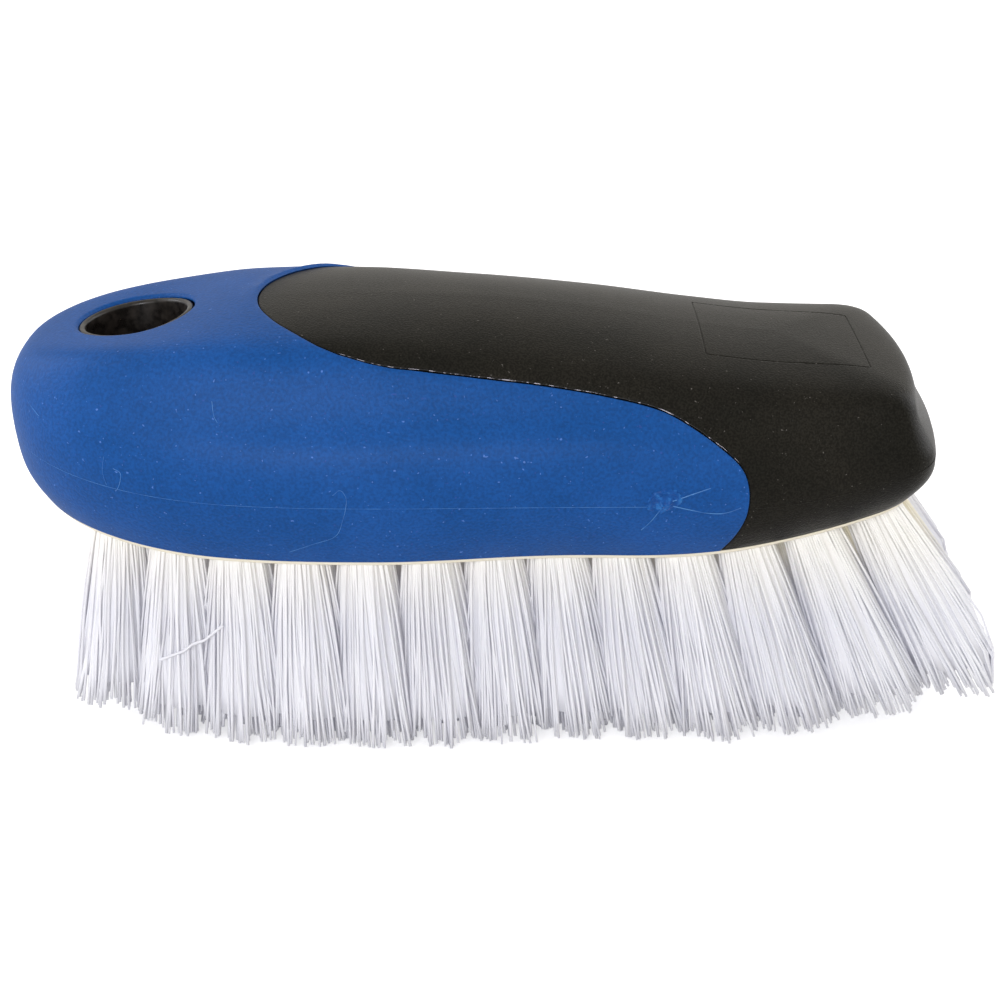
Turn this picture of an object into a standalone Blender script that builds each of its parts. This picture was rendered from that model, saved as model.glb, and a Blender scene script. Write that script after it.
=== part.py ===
"""Palm scrub brush: an overmoulded handle with a hang hole, screwed to a tufted block.

Metres, +Z up.  The handle lies along X with its nose at +X.  The brush stands on its
bristle tips, and the origin lies on the ground under the middle of the whole brush.
"""
import math

import bmesh
import bpy
from mathutils import Matrix, Vector

# Driving dimensions of the handle
LENGTH = 0.1542
WIDTH = 0.0644
HANDLE_HEIGHT = 0.0372
SKIN = 0.0024
WALL = 0.0024
EDGE_ROUND = 0.0014
NOSE_ROCKER_RUN = 0.0541
NOSE_ROCKER_RADIUS = 0.147
TAIL_ROCKER_RUN = 0.0391
TAIL_ROCKER_RADIUS = 0.160
NOSE_BOW = 0.003
NOSE_CORNER = 0.005
WAIST = 0.0022

# Driving dimensions of the block, its tufts and its screws
BLOCK_THICKNESS = 0.0072
BLOCK_DROP = 0.0013
FLANGE_INSET = 0.0004
TRIM = 0.0307
TUFT_RADIUS = 0.0032
TUFT_DEPTH = 0.0046
TUFT_STAND = 0.0006
TUFT_MARGIN = 0.0044
LAND = 0.0003
TIP_CLEARANCE = 0.0012
STRAND_GAP = 0.00035
STRAND_TIP = 0.0012

# The empty that holds every object, and the angle past which an edge is shaded sharp
HOLDER = 'scrub_brush'
CREASE_DEGREES = 35

# Clearance between seated pieces, and how far a cutter runs past what it cuts
GAP = 0.0003
OVERRUN = 0.004

HALF_LENGTH = LENGTH / 2
HALF_WIDTH = WIDTH / 2
BLOCK_TOP = BLOCK_THICKNESS - BLOCK_DROP

# Where the sides stop widening, how late they then narrow towards the nose, and how far
# along that run the waist reaches
WIDEST_SHARE = -0.2075
NARROWING = 2.4
WAIST_RUN_SHARE = 0.68

# Levels of the handle from its underside up to the crown edge: where the outline ends at
# tail and nose (shares of half the length), its half width amidships and at the nose
# (shares of half the width), how full the tail is, how far it follows the rocker, how much
# of an offset goes sideways (all of it at the nose) and down, its shares of the waist and of
# the nose corner, and its height along the length (shares of height)
SOLE, RIM, PARTING, BULGE, VALLEY, CROWN = range(6)
LEVEL_SHARES = (
    (-0.945, 0.970, 0.826, 0.628, 2.3, 1.0, 1.0, 0.0, 1.0, 1.0,
     ((-1.0, 0.0), (1.0, 0.0))),
    (-0.968, 0.995, 0.870, 0.684, 2.3, 1.0, 1.0, 0.0, 0.9, 1.0,
     ((-1.0, 0.044), (1.0, 0.044))),
    (-0.999, 0.990, 1.000, 0.792, 2.3, 0.9, 1.0, 0.0, 0.2, 1.0,
     ((-1.0, 0.306), (-0.52, 0.323), (0.39, 0.317), (0.65, 0.280), (1.0, 0.255))),
    (-1.000, 0.955, 0.981, 0.817, 2.3, 0.7, 0.95, 0.3, 0.0, 1.0,
     ((-1.0, 0.520), (-0.78, 0.532), (-0.52, 0.516), (0.52, 0.505), (1.0, 0.460))),
    (-0.975, 0.912, 0.876, 0.795, 2.5, 0.4, 0.75, 0.65, 0.0, 0.9,
     ((-1.0, 0.705), (-0.78, 0.686), (-0.58, 0.667), (0.0, 0.634), (0.52, 0.613),
      (1.0, 0.592))),
    (-0.929, 0.927, 0.708, 0.739, 2.8, 0.0, 0.6, 0.8, 0.0, 0.6,
     ((-1.0, 0.755), (-0.96, 0.790), (-0.82, 0.858), (-0.66, 0.898), (-0.48, 0.925),
      (-0.27, 0.925), (0.0, 0.882), (0.26, 0.833), (0.49, 0.777), (0.65, 0.747),
      (0.90, 0.733), (1.0, 0.731))),
)

# Height of the top's centre line along the length, and the ends of that line
SPINE_HEIGHT_SHARES = (
    (-1.0, 0.780), (-0.86, 0.850), (-0.72, 0.885), (-0.48, 0.976), (-0.27, 0.998),
    (0.0, 0.985), (0.26, 0.932), (0.49, 0.855), (0.65, 0.817), (0.78, 0.801), (1.0, 0.790),
)
SPINE_TAIL_SHARE = -0.72
SPINE_NOSE_SHARE = 0.65
DOME_POWER = 2.3
DOME_RING_SHARES = (0.86, 0.68, 0.46, 0.22)

# How finely the outline is divided, and the rings between two levels
TAIL_STEPS = 9
SIDE_STEPS = 10
CORNER_STEPS = 3
END_STEPS = 2
RING_STEPS = 2
HALVINGS = 16

# The bare crown of the core: a round tip in plan, and in side view a line that follows the
# crown edge and then drops round the nose end of the grip (shares of length and height)
CROWN_TIP_FROM_TAIL = 0.0414
CROWN_TIP_LENGTH = 0.0197
CROWN_HALF_WIDTH = 0.0236
CROWN_ROOT_SHARE = 0.76
CROWN_TIP_STEPS = 12
GRIP_LINE_SHARES = (
    (-0.40, 0.985), (-0.26, 0.925), (-0.08, 0.858), (0.10, 0.806), (0.26, 0.753),
    (0.40, 0.665), (0.50, 0.550), (0.555, 0.400), (0.565, 0.270), (0.550, 0.120),
    (0.525, 0.0), (0.500, -0.10),
)
GRIP_LINE_STEPS = 3
CROWN_SINK = 0.0002

# Hang hole and its black liner, which is a tube of the core
HOLE_FROM_TAIL = 0.0215
HOLE_RADIUS = 0.0087
LINER_WALL = 0.0012
LINER_SINK = 0.0005
HOLE_STEPS = 28

# Ribs and screw bosses inside the core
RIB = 0.0016
RIB_SHARES = (-0.42, -0.20, 0.02, 0.24, 0.46, 0.70)
BOSS_RADIUS = 0.0042
FIRST_SCREW_FROM_HOLE = 0.0201
LAST_SCREW_FROM_NOSE = 0.0274
SCREW_SHARES = (0.0, 0.487, 1.0)
SCREW_RADIUS = 0.0016
SCREW_LENGTH = 0.0130
HEAD_RADIUS = 0.0034
HEAD_HEIGHT = 0.0022
HEAD_SINK = 0.0010
HEAD_ROUND_SHARES = (0.8, 0.7)
ROUND_STEPS = 16

# Tuft pattern: outer rows, staggered inner rows and a centre row that shares its places
# with the screws
OUTER_TUFTS = 13
FIRST_TUFT_FROM_TAIL = 0.0179
LAST_TUFT_FROM_NOSE = 0.0114
INNER_ROW_SHARE = 0.50
TUFT_SIDES = 7
LEAN_DEGREES = ((-1.0, -10.0), (-0.77, -8.0), (-0.52, -2.0), (0.0, 1.5), (0.26, 7.0),
                (0.45, 12.0), (0.65, 19.5), (0.85, 30.0), (1.0, 32.5))
SPLAY_DEGREES = 6.0

# The trimmed ends: flat in the middle, rising to the tail and to the nose
TRIM_TAIL_RUN = 0.0321
TRIM_TAIL_RADIUS = 0.060
TRIM_NOSE_RUN = 0.0471
TRIM_NOSE_RADIUS = 0.240

# Places along the handle that follow from its ends
WIDEST_X = WIDEST_SHARE * HALF_LENGTH
CROWN_TIP_X = CROWN_TIP_FROM_TAIL - HALF_LENGTH
HOLE_X = HOLE_FROM_TAIL - HALF_LENGTH
FIRST_TUFT_X = FIRST_TUFT_FROM_TAIL - HALF_LENGTH
LAST_TUFT_X = HALF_LENGTH - LAST_TUFT_FROM_NOSE


def through(points, place):
    """Smooth curve through (place, value) pairs that never overshoots them."""
    places = [point[0] for point in points]
    values = [point[1] for point in points]
    if place <= places[0]:
        return values[0]
    if place >= places[-1]:
        return values[-1]
    steps = [b - a for a, b in zip(places, places[1:])]
    slopes = [(b - a) / step for a, b, step in zip(values, values[1:], steps)]
    tangents = [slopes[0]]
    for k in range(1, len(steps)):
        if slopes[k - 1] * slopes[k] <= 0:
            tangents.append(0.0)
            continue
        before = 2 * steps[k] + steps[k - 1]
        after = steps[k] + 2 * steps[k - 1]
        tangents.append((before + after) / (before / slopes[k - 1] + after / slopes[k]))
    tangents.append(slopes[-1])
    k = max(i for i in range(len(steps)) if places[i] <= place)
    t = (place - places[k]) / steps[k]
    ends = values[k] * (1 + 2 * t) * (1 - t) ** 2 + values[k + 1] * t * t * (3 - 2 * t)
    bend = tangents[k] * t * (1 - t) ** 2 - tangents[k + 1] * t * t * (1 - t)
    return ends + steps[k] * bend


def arc_rise(past, radius):
    """How far an arc of this radius has risen at a distance past its start."""
    if past <= 0:
        return 0.0
    reach = min(past, radius)
    return radius - math.sqrt(radius * radius - reach * reach)


def underside(x):
    """Height of the handle's underside, which rocks up at the nose and at the tail."""
    nose = arc_rise(x - HALF_LENGTH + NOSE_ROCKER_RUN, NOSE_ROCKER_RADIUS)
    return nose + arc_rise(TAIL_ROCKER_RUN - HALF_LENGTH - x, TAIL_ROCKER_RADIUS)


def trim_height(x):
    """Height of the trimmed bristle ends above the ground."""
    nose = arc_rise(x - HALF_LENGTH + TRIM_NOSE_RUN, TRIM_NOSE_RADIUS)
    return nose + arc_rise(TRIM_TAIL_RUN - HALF_LENGTH - x, TRIM_TAIL_RADIUS)


def half_outline(level, inset):
    """Near half of a level's outline, from the tail's tip to the middle of the nose."""
    tail_share, nose_share, wide_share, nose_wide_share, fullness = LEVEL_SHARES[level][:5]
    waist_share, corner_share = LEVEL_SHARES[level][8:10]
    side_inset = inset * LEVEL_SHARES[level][6]
    tail = tail_share * HALF_LENGTH + side_inset
    nose = nose_share * HALF_LENGTH - inset
    wide = wide_share * HALF_WIDTH - side_inset
    nose_wide = nose_wide_share * HALF_WIDTH - side_inset
    nose_side = nose - NOSE_BOW
    corner_size = NOSE_CORNER * corner_share
    corner_start = nose_side - corner_size

    def side(x):
        run = (x - WIDEST_X) / (nose - WIDEST_X)
        waist = WAIST * math.sin(math.pi * min(run / WAIST_RUN_SHARE, 1)) ** 2
        return wide + (nose_wide - wide) * run ** NARROWING - waist * waist_share

    points = []
    for k in range(TAIL_STEPS):
        angle = math.pi / 2 * k / TAIL_STEPS
        along = math.cos(angle) ** (2 / fullness)
        across = math.sin(angle) ** (2 / fullness)
        points.append((WIDEST_X - (WIDEST_X - tail) * along, -wide * across))
    for k in range(SIDE_STEPS):
        x = WIDEST_X + (corner_start - WIDEST_X) * k / SIDE_STEPS
        points.append((x, -side(x)))
    start = Vector((corner_start, -side(corner_start)))
    corner = Vector((nose_side, -side(nose_side)))
    end_y = corner.y + corner_size
    end = Vector((nose - NOSE_BOW * (end_y / nose_wide) ** 2, end_y))
    for k in range(CORNER_STEPS):
        t = k / CORNER_STEPS
        point = start * (1 - t) ** 2 + corner * (2 * t * (1 - t)) + end * t * t
        points.append((point.x, point.y))
    for k in range(END_STEPS + 1):
        y = end_y * (1 - k / END_STEPS)
        points.append((nose - NOSE_BOW * (y / nose_wide) ** 2, y))
    return points


def level_ring(level, inset):
    """Near half of a level as points in space."""
    follow = LEVEL_SHARES[level][5]
    drop = LEVEL_SHARES[level][7] * inset
    heights = LEVEL_SHARES[level][10]
    ring = []
    for x, y in half_outline(level, inset):
        height = through(heights, x / HALF_LENGTH) * HANDLE_HEIGHT
        ring.append(Vector((x, y, height + follow * underside(x) - drop)))
    return ring


def spine_height(x, inset):
    """Height of the top's centre line."""
    return through(SPINE_HEIGHT_SHARES, x / HALF_LENGTH) * HANDLE_HEIGHT - inset


def dome_ring(share, inset):
    """Ring of the domed top: the crown edge drawn in towards the centre line."""
    tail = SPINE_TAIL_SHARE * HALF_LENGTH
    nose = SPINE_NOSE_SHARE * HALF_LENGTH
    ring = []
    for edge in level_ring(CROWN, inset):
        centre_x = min(max(edge.x, tail), nose)
        x = centre_x + (edge.x - centre_x) * share
        fall = edge.z - spine_height(edge.x, inset)
        height = spine_height(x, inset) + fall * share ** DOME_POWER
        ring.append(Vector((x, edge.y * share, height)))
    return ring


def between(before, start, end, after, t):
    """Point on a smooth curve from start to end, with its neighbours on either side."""
    straight = 2 * start + (end - before) * t
    second = (2 * before - 5 * start + 4 * end - after) * t * t
    third = (3 * start - before - 3 * end + after) * t ** 3
    return (straight + second + third) / 2


def floor_place(column, lift):
    """How far up a column from rim to parting line it passes this height over the underside."""
    below = 0.0
    above = 1.0
    for _ in range(HALVINGS):
        middle = (below + above) / 2
        point = between(*column, middle)
        if point.z < underside(point.x) + lift:
            below = middle
        else:
            above = middle
    return above


def body_rings(inset, lift=None):
    """Rings of the handle's outer form from the underside, or this far over it, to the top."""
    levels = [level_ring(level, inset) for level in range(len(LEVEL_SHARES))]
    frame = levels + [dome_ring(DOME_RING_SHARES[1], inset)]
    rings = []
    if lift is None:
        rings.append(levels[SOLE])
    else:
        columns = list(zip(*frame[SOLE:BULGE + 1]))
        floor = [floor_place(column, lift) for column in columns]
        rings.append([between(*column, t) for column, t in zip(columns, floor)])
        halfway = [(t + 1) / 2 for t in floor]
        rings.append([between(*column, t) for column, t in zip(columns, halfway)])
    for k in range(RIM if lift is None else PARTING, CROWN):
        for step in range(RING_STEPS):
            t = step / RING_STEPS
            around = zip(frame[k - 1], frame[k], frame[k + 1], frame[k + 2])
            rings.append([between(a, b, c, d, t) for a, b, c, d in around])
    rings.append(levels[CROWN])
    rings.extend(dome_ring(share, inset) for share in DOME_RING_SHARES)
    rings.append(dome_ring(0, inset))
    return rings


def mirrored(ring):
    """Whole loop from its near half."""
    far = [Vector((p.x, -p.y, p.z)) for p in reversed(ring[1:-1])]
    return ring + far


def loft(name, rings):
    """Closed solid through half rings, closed across by strips below and above."""
    mesh = bmesh.new()
    loops = [[mesh.verts.new(point) for point in mirrored(ring)] for ring in rings]
    count = len(loops[0])
    for lower, upper in zip(loops, loops[1:]):
        for k in range(count):
            after = (k + 1) % count
            mesh.faces.new((lower[k], lower[after], upper[after], upper[k]))
    for loop in (loops[0], loops[-1]):
        for k in range(count // 2):
            corners = (loop[k], loop[k + 1], loop[(count - k - 1) % count],
                       loop[(count - k) % count])
            whole = [v for i, v in enumerate(corners) if v not in corners[:i]]
            mesh.faces.new(whole)
    bmesh.ops.remove_doubles(mesh, verts=mesh.verts, dist=GAP / 100)
    bmesh.ops.dissolve_degenerate(mesh, edges=mesh.edges, dist=GAP / 100)
    bmesh.ops.recalc_face_normals(mesh, faces=mesh.faces)
    return finished(name, mesh)


def finished(name, mesh):
    """Object made from a bmesh, held by the brush's empty like every other."""
    data = bpy.data.meshes.new(name)
    mesh.to_mesh(data)
    mesh.free()
    piece = bpy.data.objects.new(name, data)
    bpy.context.scene.collection.objects.link(piece)
    piece.parent = bpy.data.objects[HOLDER]
    return piece


def prisms(name, outlines, place):
    """Closed solids, each between two copies of an outline that place() puts in space."""
    mesh = bmesh.new()
    for outline in outlines:
        ends = [[mesh.verts.new(place(point, end)) for point in outline] for end in (0, 1)]
        mesh.faces.new(ends[0])
        mesh.faces.new(ends[1])
        for k in range(len(outline)):
            after = (k + 1) % len(outline)
            mesh.faces.new((ends[0][k], ends[0][after], ends[1][after], ends[1][k]))
    bmesh.ops.recalc_face_normals(mesh, faces=mesh.faces)
    return finished(name, mesh)


def circle(x, y, radius, steps):
    """Points round a circle in plan."""
    turns = [2 * math.pi * (k + 0.5) / steps for k in range(steps)]
    return [(x + radius * math.cos(turn), y + radius * math.sin(turn)) for turn in turns]


def upright(name, outlines, low, high):
    """Prisms with upright walls, from their outlines in plan."""
    return prisms(name, outlines, lambda p, end: Vector((p[0], p[1], high if end else low)))


def crosswise(name, outline, half):
    """Prism whose outline is a side view, run across the handle."""
    return prisms(name, [outline], lambda p, end: Vector((p[0], half if end else -half, p[1])))


def cutter(piece):
    """Marks an object as a construction volume."""
    piece.hide_render = True
    piece.display_type = 'WIRE'
    return piece


def shape(piece, operation, tool):
    """Adds a Boolean step to a piece."""
    step = piece.modifiers.new(tool.name, 'BOOLEAN')
    step.operation = operation
    step.solver = 'EXACT'
    step.object = cutter(tool)
    return piece


def open_loft(name, inset):
    """Handle's form at this inset, run out through its underside."""
    rings = body_rings(inset)
    lowest = [Vector((p.x, p.y, -OVERRUN)) for p in rings[0]]
    return loft(name, [lowest] + rings)


def block_loft(name, inset, low, high):
    """Upright-walled plate in the sole's outline that follows the underside."""
    ring = half_outline(SOLE, inset)
    rings = [[Vector((x, y, underside(x) + lift)) for x, y in ring] for lift in (low, high)]
    return loft(name, rings)


def offset_outline(outline, distance):
    """Open line moved sideways to its left."""
    moved = []
    for k, point in enumerate(outline):
        ahead = Vector(outline[min(k + 1, len(outline) - 1)])
        behind = Vector(outline[max(k - 1, 0)])
        along = (ahead - behind).normalized()
        moved.append((point[0] - along.y * distance, point[1] + along.x * distance))
    return moved


def grip_line():
    """Side view of the line between the grip and the bare nose, drawn smooth."""
    knots = [Vector((x * HALF_LENGTH, z * HANDLE_HEIGHT)) for x, z in GRIP_LINE_SHARES]
    line = []
    for before, start, end, after in zip(knots, knots[1:], knots[2:], knots[3:]):
        for step in range(GRIP_LINE_STEPS):
            line.append(tuple(between(before, start, end, after, step / GRIP_LINE_STEPS)))
    return line + [tuple(knots[-2])]


def bare_region(name, grow):
    """Volume in which the core shows: its crown tip in plan and its nose in side view."""
    top = HANDLE_HEIGHT + OVERRUN
    tip_end = CROWN_TIP_X + CROWN_TIP_LENGTH
    plan = []
    for k in range(CROWN_TIP_STEPS + 1):
        angle = math.pi * (0.5 + k / CROWN_TIP_STEPS)
        plan.append((tip_end + (CROWN_TIP_LENGTH + grow) * math.cos(angle),
                     (CROWN_HALF_WIDTH + grow) * math.sin(angle)))
    shoulder = CROWN_HALF_WIDTH + grow
    plan += [(0, -shoulder), (0, shoulder)]
    crown = upright(name + '_crown', [plan], CROWN_ROOT_SHARE * HANDLE_HEIGHT - grow, top)
    line = offset_outline(grip_line(), -grow)
    reach = HALF_LENGTH + OVERRUN
    line += [(line[-1][0], -OVERRUN), (reach, -OVERRUN), (reach, top), (line[0][0], top)]
    side = crosswise(name, line, HALF_WIDTH + OVERRUN)
    return shape(side, 'UNION', crown)


def hole_tool(name, radius, low, high):
    """Round upright volume on the hang hole's axis."""
    return upright(name, [circle(HOLE_X, 0, radius, HOLE_STEPS)], low, high)


def material(name, colour, roughness, metallic):
    """Principled material from an sRGB colour."""
    made = bpy.data.materials.new(name)
    made.use_nodes = True
    surface = made.node_tree.nodes['Principled BSDF']
    linear = [(c / 12.92 if c <= 0.04045 else ((c + 0.055) / 1.055) ** 2.4) for c in colour]
    surface.inputs['Base Color'].default_value = (*linear, 1)
    surface.inputs['Roughness'].default_value = roughness
    surface.inputs['Metallic'].default_value = metallic
    return made


def dress(piece, finish):
    """Gives a piece its material and its shading."""
    piece.data.materials.append(finish)
    piece.data.shade_smooth()
    piece.data.set_sharp_from_angle(angle=math.radians(CREASE_DEGREES))
    return piece


def screw_places():
    """X positions of the screws on the centre line."""
    first = HOLE_X + FIRST_SCREW_FROM_HOLE
    last = HALF_LENGTH - LAST_SCREW_FROM_NOSE
    return [first + (last - first) * share for share in SCREW_SHARES]


def core(finish):
    """Black moulding: inner shell, stiffeners, liner tube, and its bare skin."""
    top = HANDLE_HEIGHT + OVERRUN
    floor = BLOCK_TOP + GAP
    wall = SKIN + GAP + WALL
    piece = loft('handle_core', body_rings(SKIN + GAP, floor))
    shape(piece, 'DIFFERENCE', open_loft('core_hollow', wall))
    shape(piece, 'UNION', stiffeners(wall - WALL / 2, floor + GAP))
    liner = loft('liner_form', body_rings(LINER_SINK, floor + GAP))
    tube = hole_tool('liner_tube', HOLE_RADIUS + LINER_WALL, -OVERRUN, top)
    shape(piece, 'UNION', shape(liner, 'INTERSECT', tube))
    shape(piece, 'UNION', bare_skin(wall - WALL / 2))
    shape(piece, 'DIFFERENCE', hole_tool('core_bore', HOLE_RADIUS, -OVERRUN, top))
    for k, x in enumerate(screw_places()):
        pilot_top = underside(x) + BLOCK_TOP + SCREW_LENGTH
        pilot = [circle(x, 0, SCREW_RADIUS + GAP, ROUND_STEPS)]
        shape(piece, 'DIFFERENCE', upright(f'pilot_{k + 1}', pilot, -OVERRUN, pilot_top))
    return dress(piece, finish)


def oblong(start, end, half_width):
    """Plan of a straight rib or wall that lies across the centre line."""
    return [(start, -half_width), (end, -half_width), (end, half_width), (start, half_width)]


def stiffeners(inset, lift):
    """Keel, the ribs across it and the bosses that take the screws, rooted in the wall."""
    top = HANDLE_HEIGHT + OVERRUN
    across = HALF_WIDTH + OVERRUN
    places = [share * HALF_LENGTH for share in RIB_SHARES]
    ribs = [oblong(x - RIB / 2, x + RIB / 2, across) for x in places]
    keel = [oblong(HOLE_X, HALF_LENGTH, RIB / 2)]
    bosses = [circle(x, 0, BOSS_RADIUS, ROUND_STEPS) for x in screw_places()]
    plan = upright('rib_plan', ribs, -OVERRUN, top)
    shape(plan, 'UNION', upright('keel_plan', keel, -OVERRUN / 2, top + OVERRUN / 2))
    shape(plan, 'UNION', upright('boss_plan', bosses, -OVERRUN * 2, top + OVERRUN))
    return shape(loft('stiffeners', body_rings(inset, lift)), 'INTERSECT', plan)


def bare_skin(inset):
    """Crown and nose of the core where no grip covers it, with the pocket for the block."""
    skin = loft('bare_form', body_rings(CROWN_SINK))
    shape(skin, 'INTERSECT', bare_region('bare_region', 0))
    shape(skin, 'DIFFERENCE', open_loft('bare_hollow', inset))
    pocket = block_loft('core_pocket', pocket_inset(), -OVERRUN, BLOCK_TOP + 2 * GAP)
    return shape(skin, 'DIFFERENCE', pocket)


def pocket_inset():
    """How far the pocket for the block lies inside the sole's outline."""
    return SKIN - EDGE_ROUND


def grip(finish):
    """Soft blue skin moulded over the core, open where the core shows."""
    top = HANDLE_HEIGHT + OVERRUN
    piece = loft('grip_overmould', body_rings(0))
    shape(piece, 'DIFFERENCE', loft('grip_inside', body_rings(SKIN, BLOCK_TOP)))
    shape(piece, 'DIFFERENCE', bare_region('grip_opening', GAP))
    shape(piece, 'DIFFERENCE', block_loft('grip_pocket', pocket_inset(), -OVERRUN,
                                          BLOCK_TOP + OVERRUN))
    liner_radius = HOLE_RADIUS + LINER_WALL + GAP
    shape(piece, 'DIFFERENCE', hole_tool('grip_hole', liner_radius, -OVERRUN, top))
    return dress(piece, finish)


def block(finish, tufts):
    """Ivory block with its flange, hang-hole bore, screw holes and blind tuft holes."""
    plug = block_loft('bristle_block', pocket_inset() + GAP, -BLOCK_DROP, BLOCK_TOP)
    flange = block_loft('block_flange', FLANGE_INSET, -BLOCK_DROP, -GAP)
    shape(plug, 'UNION', flange)
    shape(plug, 'DIFFERENCE', hole_tool('block_bore', HOLE_RADIUS, -OVERRUN, HANDLE_HEIGHT))
    for k, x in enumerate(screw_places()):
        seat = screw_seat(x)
        shank = [circle(x, 0, SCREW_RADIUS + GAP, ROUND_STEPS)]
        clear = upright(f'screw_clear_{k + 1}', shank, seat - OVERRUN, HANDLE_HEIGHT)
        head = [circle(x, 0, HEAD_RADIUS + GAP, ROUND_STEPS)]
        recess = upright(f'head_recess_{k + 1}', head, -BLOCK_DROP - OVERRUN, seat + GAP)
        shape(plug, 'DIFFERENCE', clear)
        shape(plug, 'DIFFERENCE', recess)
    for place in tufts:
        shape(plug, 'DIFFERENCE', tuft_hole(place))
    return dress(plug, finish)


def screw_seat(x):
    """Height of the top of a screw's head, seated in the block."""
    return underside(x) - BLOCK_DROP + HEAD_SINK + HEAD_HEIGHT


def screw(name, x, finish):
    """Pan-head screw turned about its own axis, head down, standing in its boss."""
    seat = screw_seat(x)
    tip = underside(x) + BLOCK_TOP + SCREW_LENGTH - GAP
    face_share, edge_share = HEAD_ROUND_SHARES
    profile = ((0, seat - HEAD_HEIGHT), (HEAD_RADIUS * face_share, seat - HEAD_HEIGHT),
               (HEAD_RADIUS, seat - HEAD_HEIGHT * edge_share), (HEAD_RADIUS, seat),
               (SCREW_RADIUS, seat), (SCREW_RADIUS, tip - SCREW_RADIUS), (0, tip))
    mesh = bmesh.new()
    points = [mesh.verts.new((radius, 0, z)) for radius, z in profile]
    edges = [mesh.edges.new(pair) for pair in zip(points, points[1:])]
    bmesh.ops.spin(mesh, geom=points + edges, cent=(0, 0, 0), axis=(0, 0, 1),
                   angle=2 * math.pi, steps=ROUND_STEPS, use_merge=True)
    bmesh.ops.remove_doubles(mesh, verts=mesh.verts, dist=GAP / 100)
    bmesh.ops.recalc_face_normals(mesh, faces=mesh.faces)
    piece = finished(name, mesh)
    piece.location = (x, 0, 0)
    return dress(piece, finish)


def tuft_row_y(x):
    """Distance of the outer tuft row from the centre line."""
    line = half_outline(SOLE, pocket_inset() + GAP + TUFT_MARGIN)
    for (x0, y0), (x1, y1) in zip(line, line[1:]):
        if x0 <= x < x1:
            return -(y0 + (y1 - y0) * (x - x0) / (x1 - x0))
    return 0.0


def tuft_pitch():
    """Distance from tuft to tuft along a row."""
    return (LAST_TUFT_X - FIRST_TUFT_X) / (OUTER_TUFTS - 1)


def tuft_tip_radius():
    """Radius of a tuft's trimmed end, clear of its neighbours in the row."""
    return (tuft_pitch() - TIP_CLEARANCE) / 2


def tuft_places():
    """Name, root point, direction and tip point of each tuft."""
    pitch = tuft_pitch()
    clear_of_hole = HOLE_RADIUS + TUFT_RADIUS + GAP + LINER_WALL
    clear_of_screw = HEAD_RADIUS + TUFT_RADIUS + 2 * GAP + LAND
    places = []
    for name, side in (('near', -1), ('far', 1)):
        for k in range(OUTER_TUFTS):
            x = FIRST_TUFT_X + pitch * k
            places.append((f'tuft_{name}_{k + 1:02d}', x, side * tuft_row_y(x), side))
        for k in range(OUTER_TUFTS - 1):
            x = FIRST_TUFT_X + pitch * (k + 0.5)
            y = side * tuft_row_y(x) * INNER_ROW_SHARE
            if math.hypot(x - HOLE_X, y) < clear_of_hole + TUFT_RADIUS:
                continue
            places.append((f'tuft_{name}_inner_{k + 1:02d}', x, y, side * INNER_ROW_SHARE))
    for k in range(OUTER_TUFTS):
        x = FIRST_TUFT_X + pitch * k
        nearest = min(abs(x - screw_x) for screw_x in screw_places())
        if nearest < clear_of_screw or x - HOLE_X < clear_of_hole:
            continue
        places.append((f'tuft_centre_{k + 1:02d}', x, 0.0, 0.0))
    return [tuft_axis(*place) for place in places]


def tuft_axis(name, x, y, side):
    """Root, direction and tip of a tuft that leans along and splays sideways."""
    lean = math.tan(math.radians(through(LEAN_DEGREES, x / HALF_LENGTH)))
    splay = math.tan(math.radians(SPLAY_DEGREES)) * side
    root = Vector((x, y, underside(x) - BLOCK_DROP))
    fall = Vector((lean, splay, -1))
    ground = -BLOCK_DROP - TRIM
    drop = root.z - ground
    for _ in range(4):
        drop = root.z - ground - trim_height(x + lean * drop)
    return name, root, fall.normalized(), root + fall * drop


def tuft_frame(root, direction):
    """Matrix whose Z axis runs down the tuft from its root."""
    turn = Vector((0, 0, 1)).rotation_difference(direction)
    return Matrix.Translation(root) @ turn.to_matrix().to_4x4()


def tuft_sides(radius):
    """Points round a tuft's root."""
    turns = [2 * math.pi * k / TUFT_SIDES for k in range(TUFT_SIDES)]
    return [Vector((radius * math.cos(turn), radius * math.sin(turn), 0)) for turn in turns]


def tuft_hole(place):
    """Blind hole that takes a tuft's root with a clearance all round."""
    name, root, direction, _ = place
    frame = tuft_frame(root, direction)
    radius = TUFT_RADIUS + GAP / math.cos(math.pi / TUFT_SIDES)
    ends = (-TUFT_DEPTH - GAP, OVERRUN)

    def put(point, end):
        return frame @ (point + Vector((0, 0, ends[end])))

    return prisms('hole_' + name, [tuft_sides(radius)], put)


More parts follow.
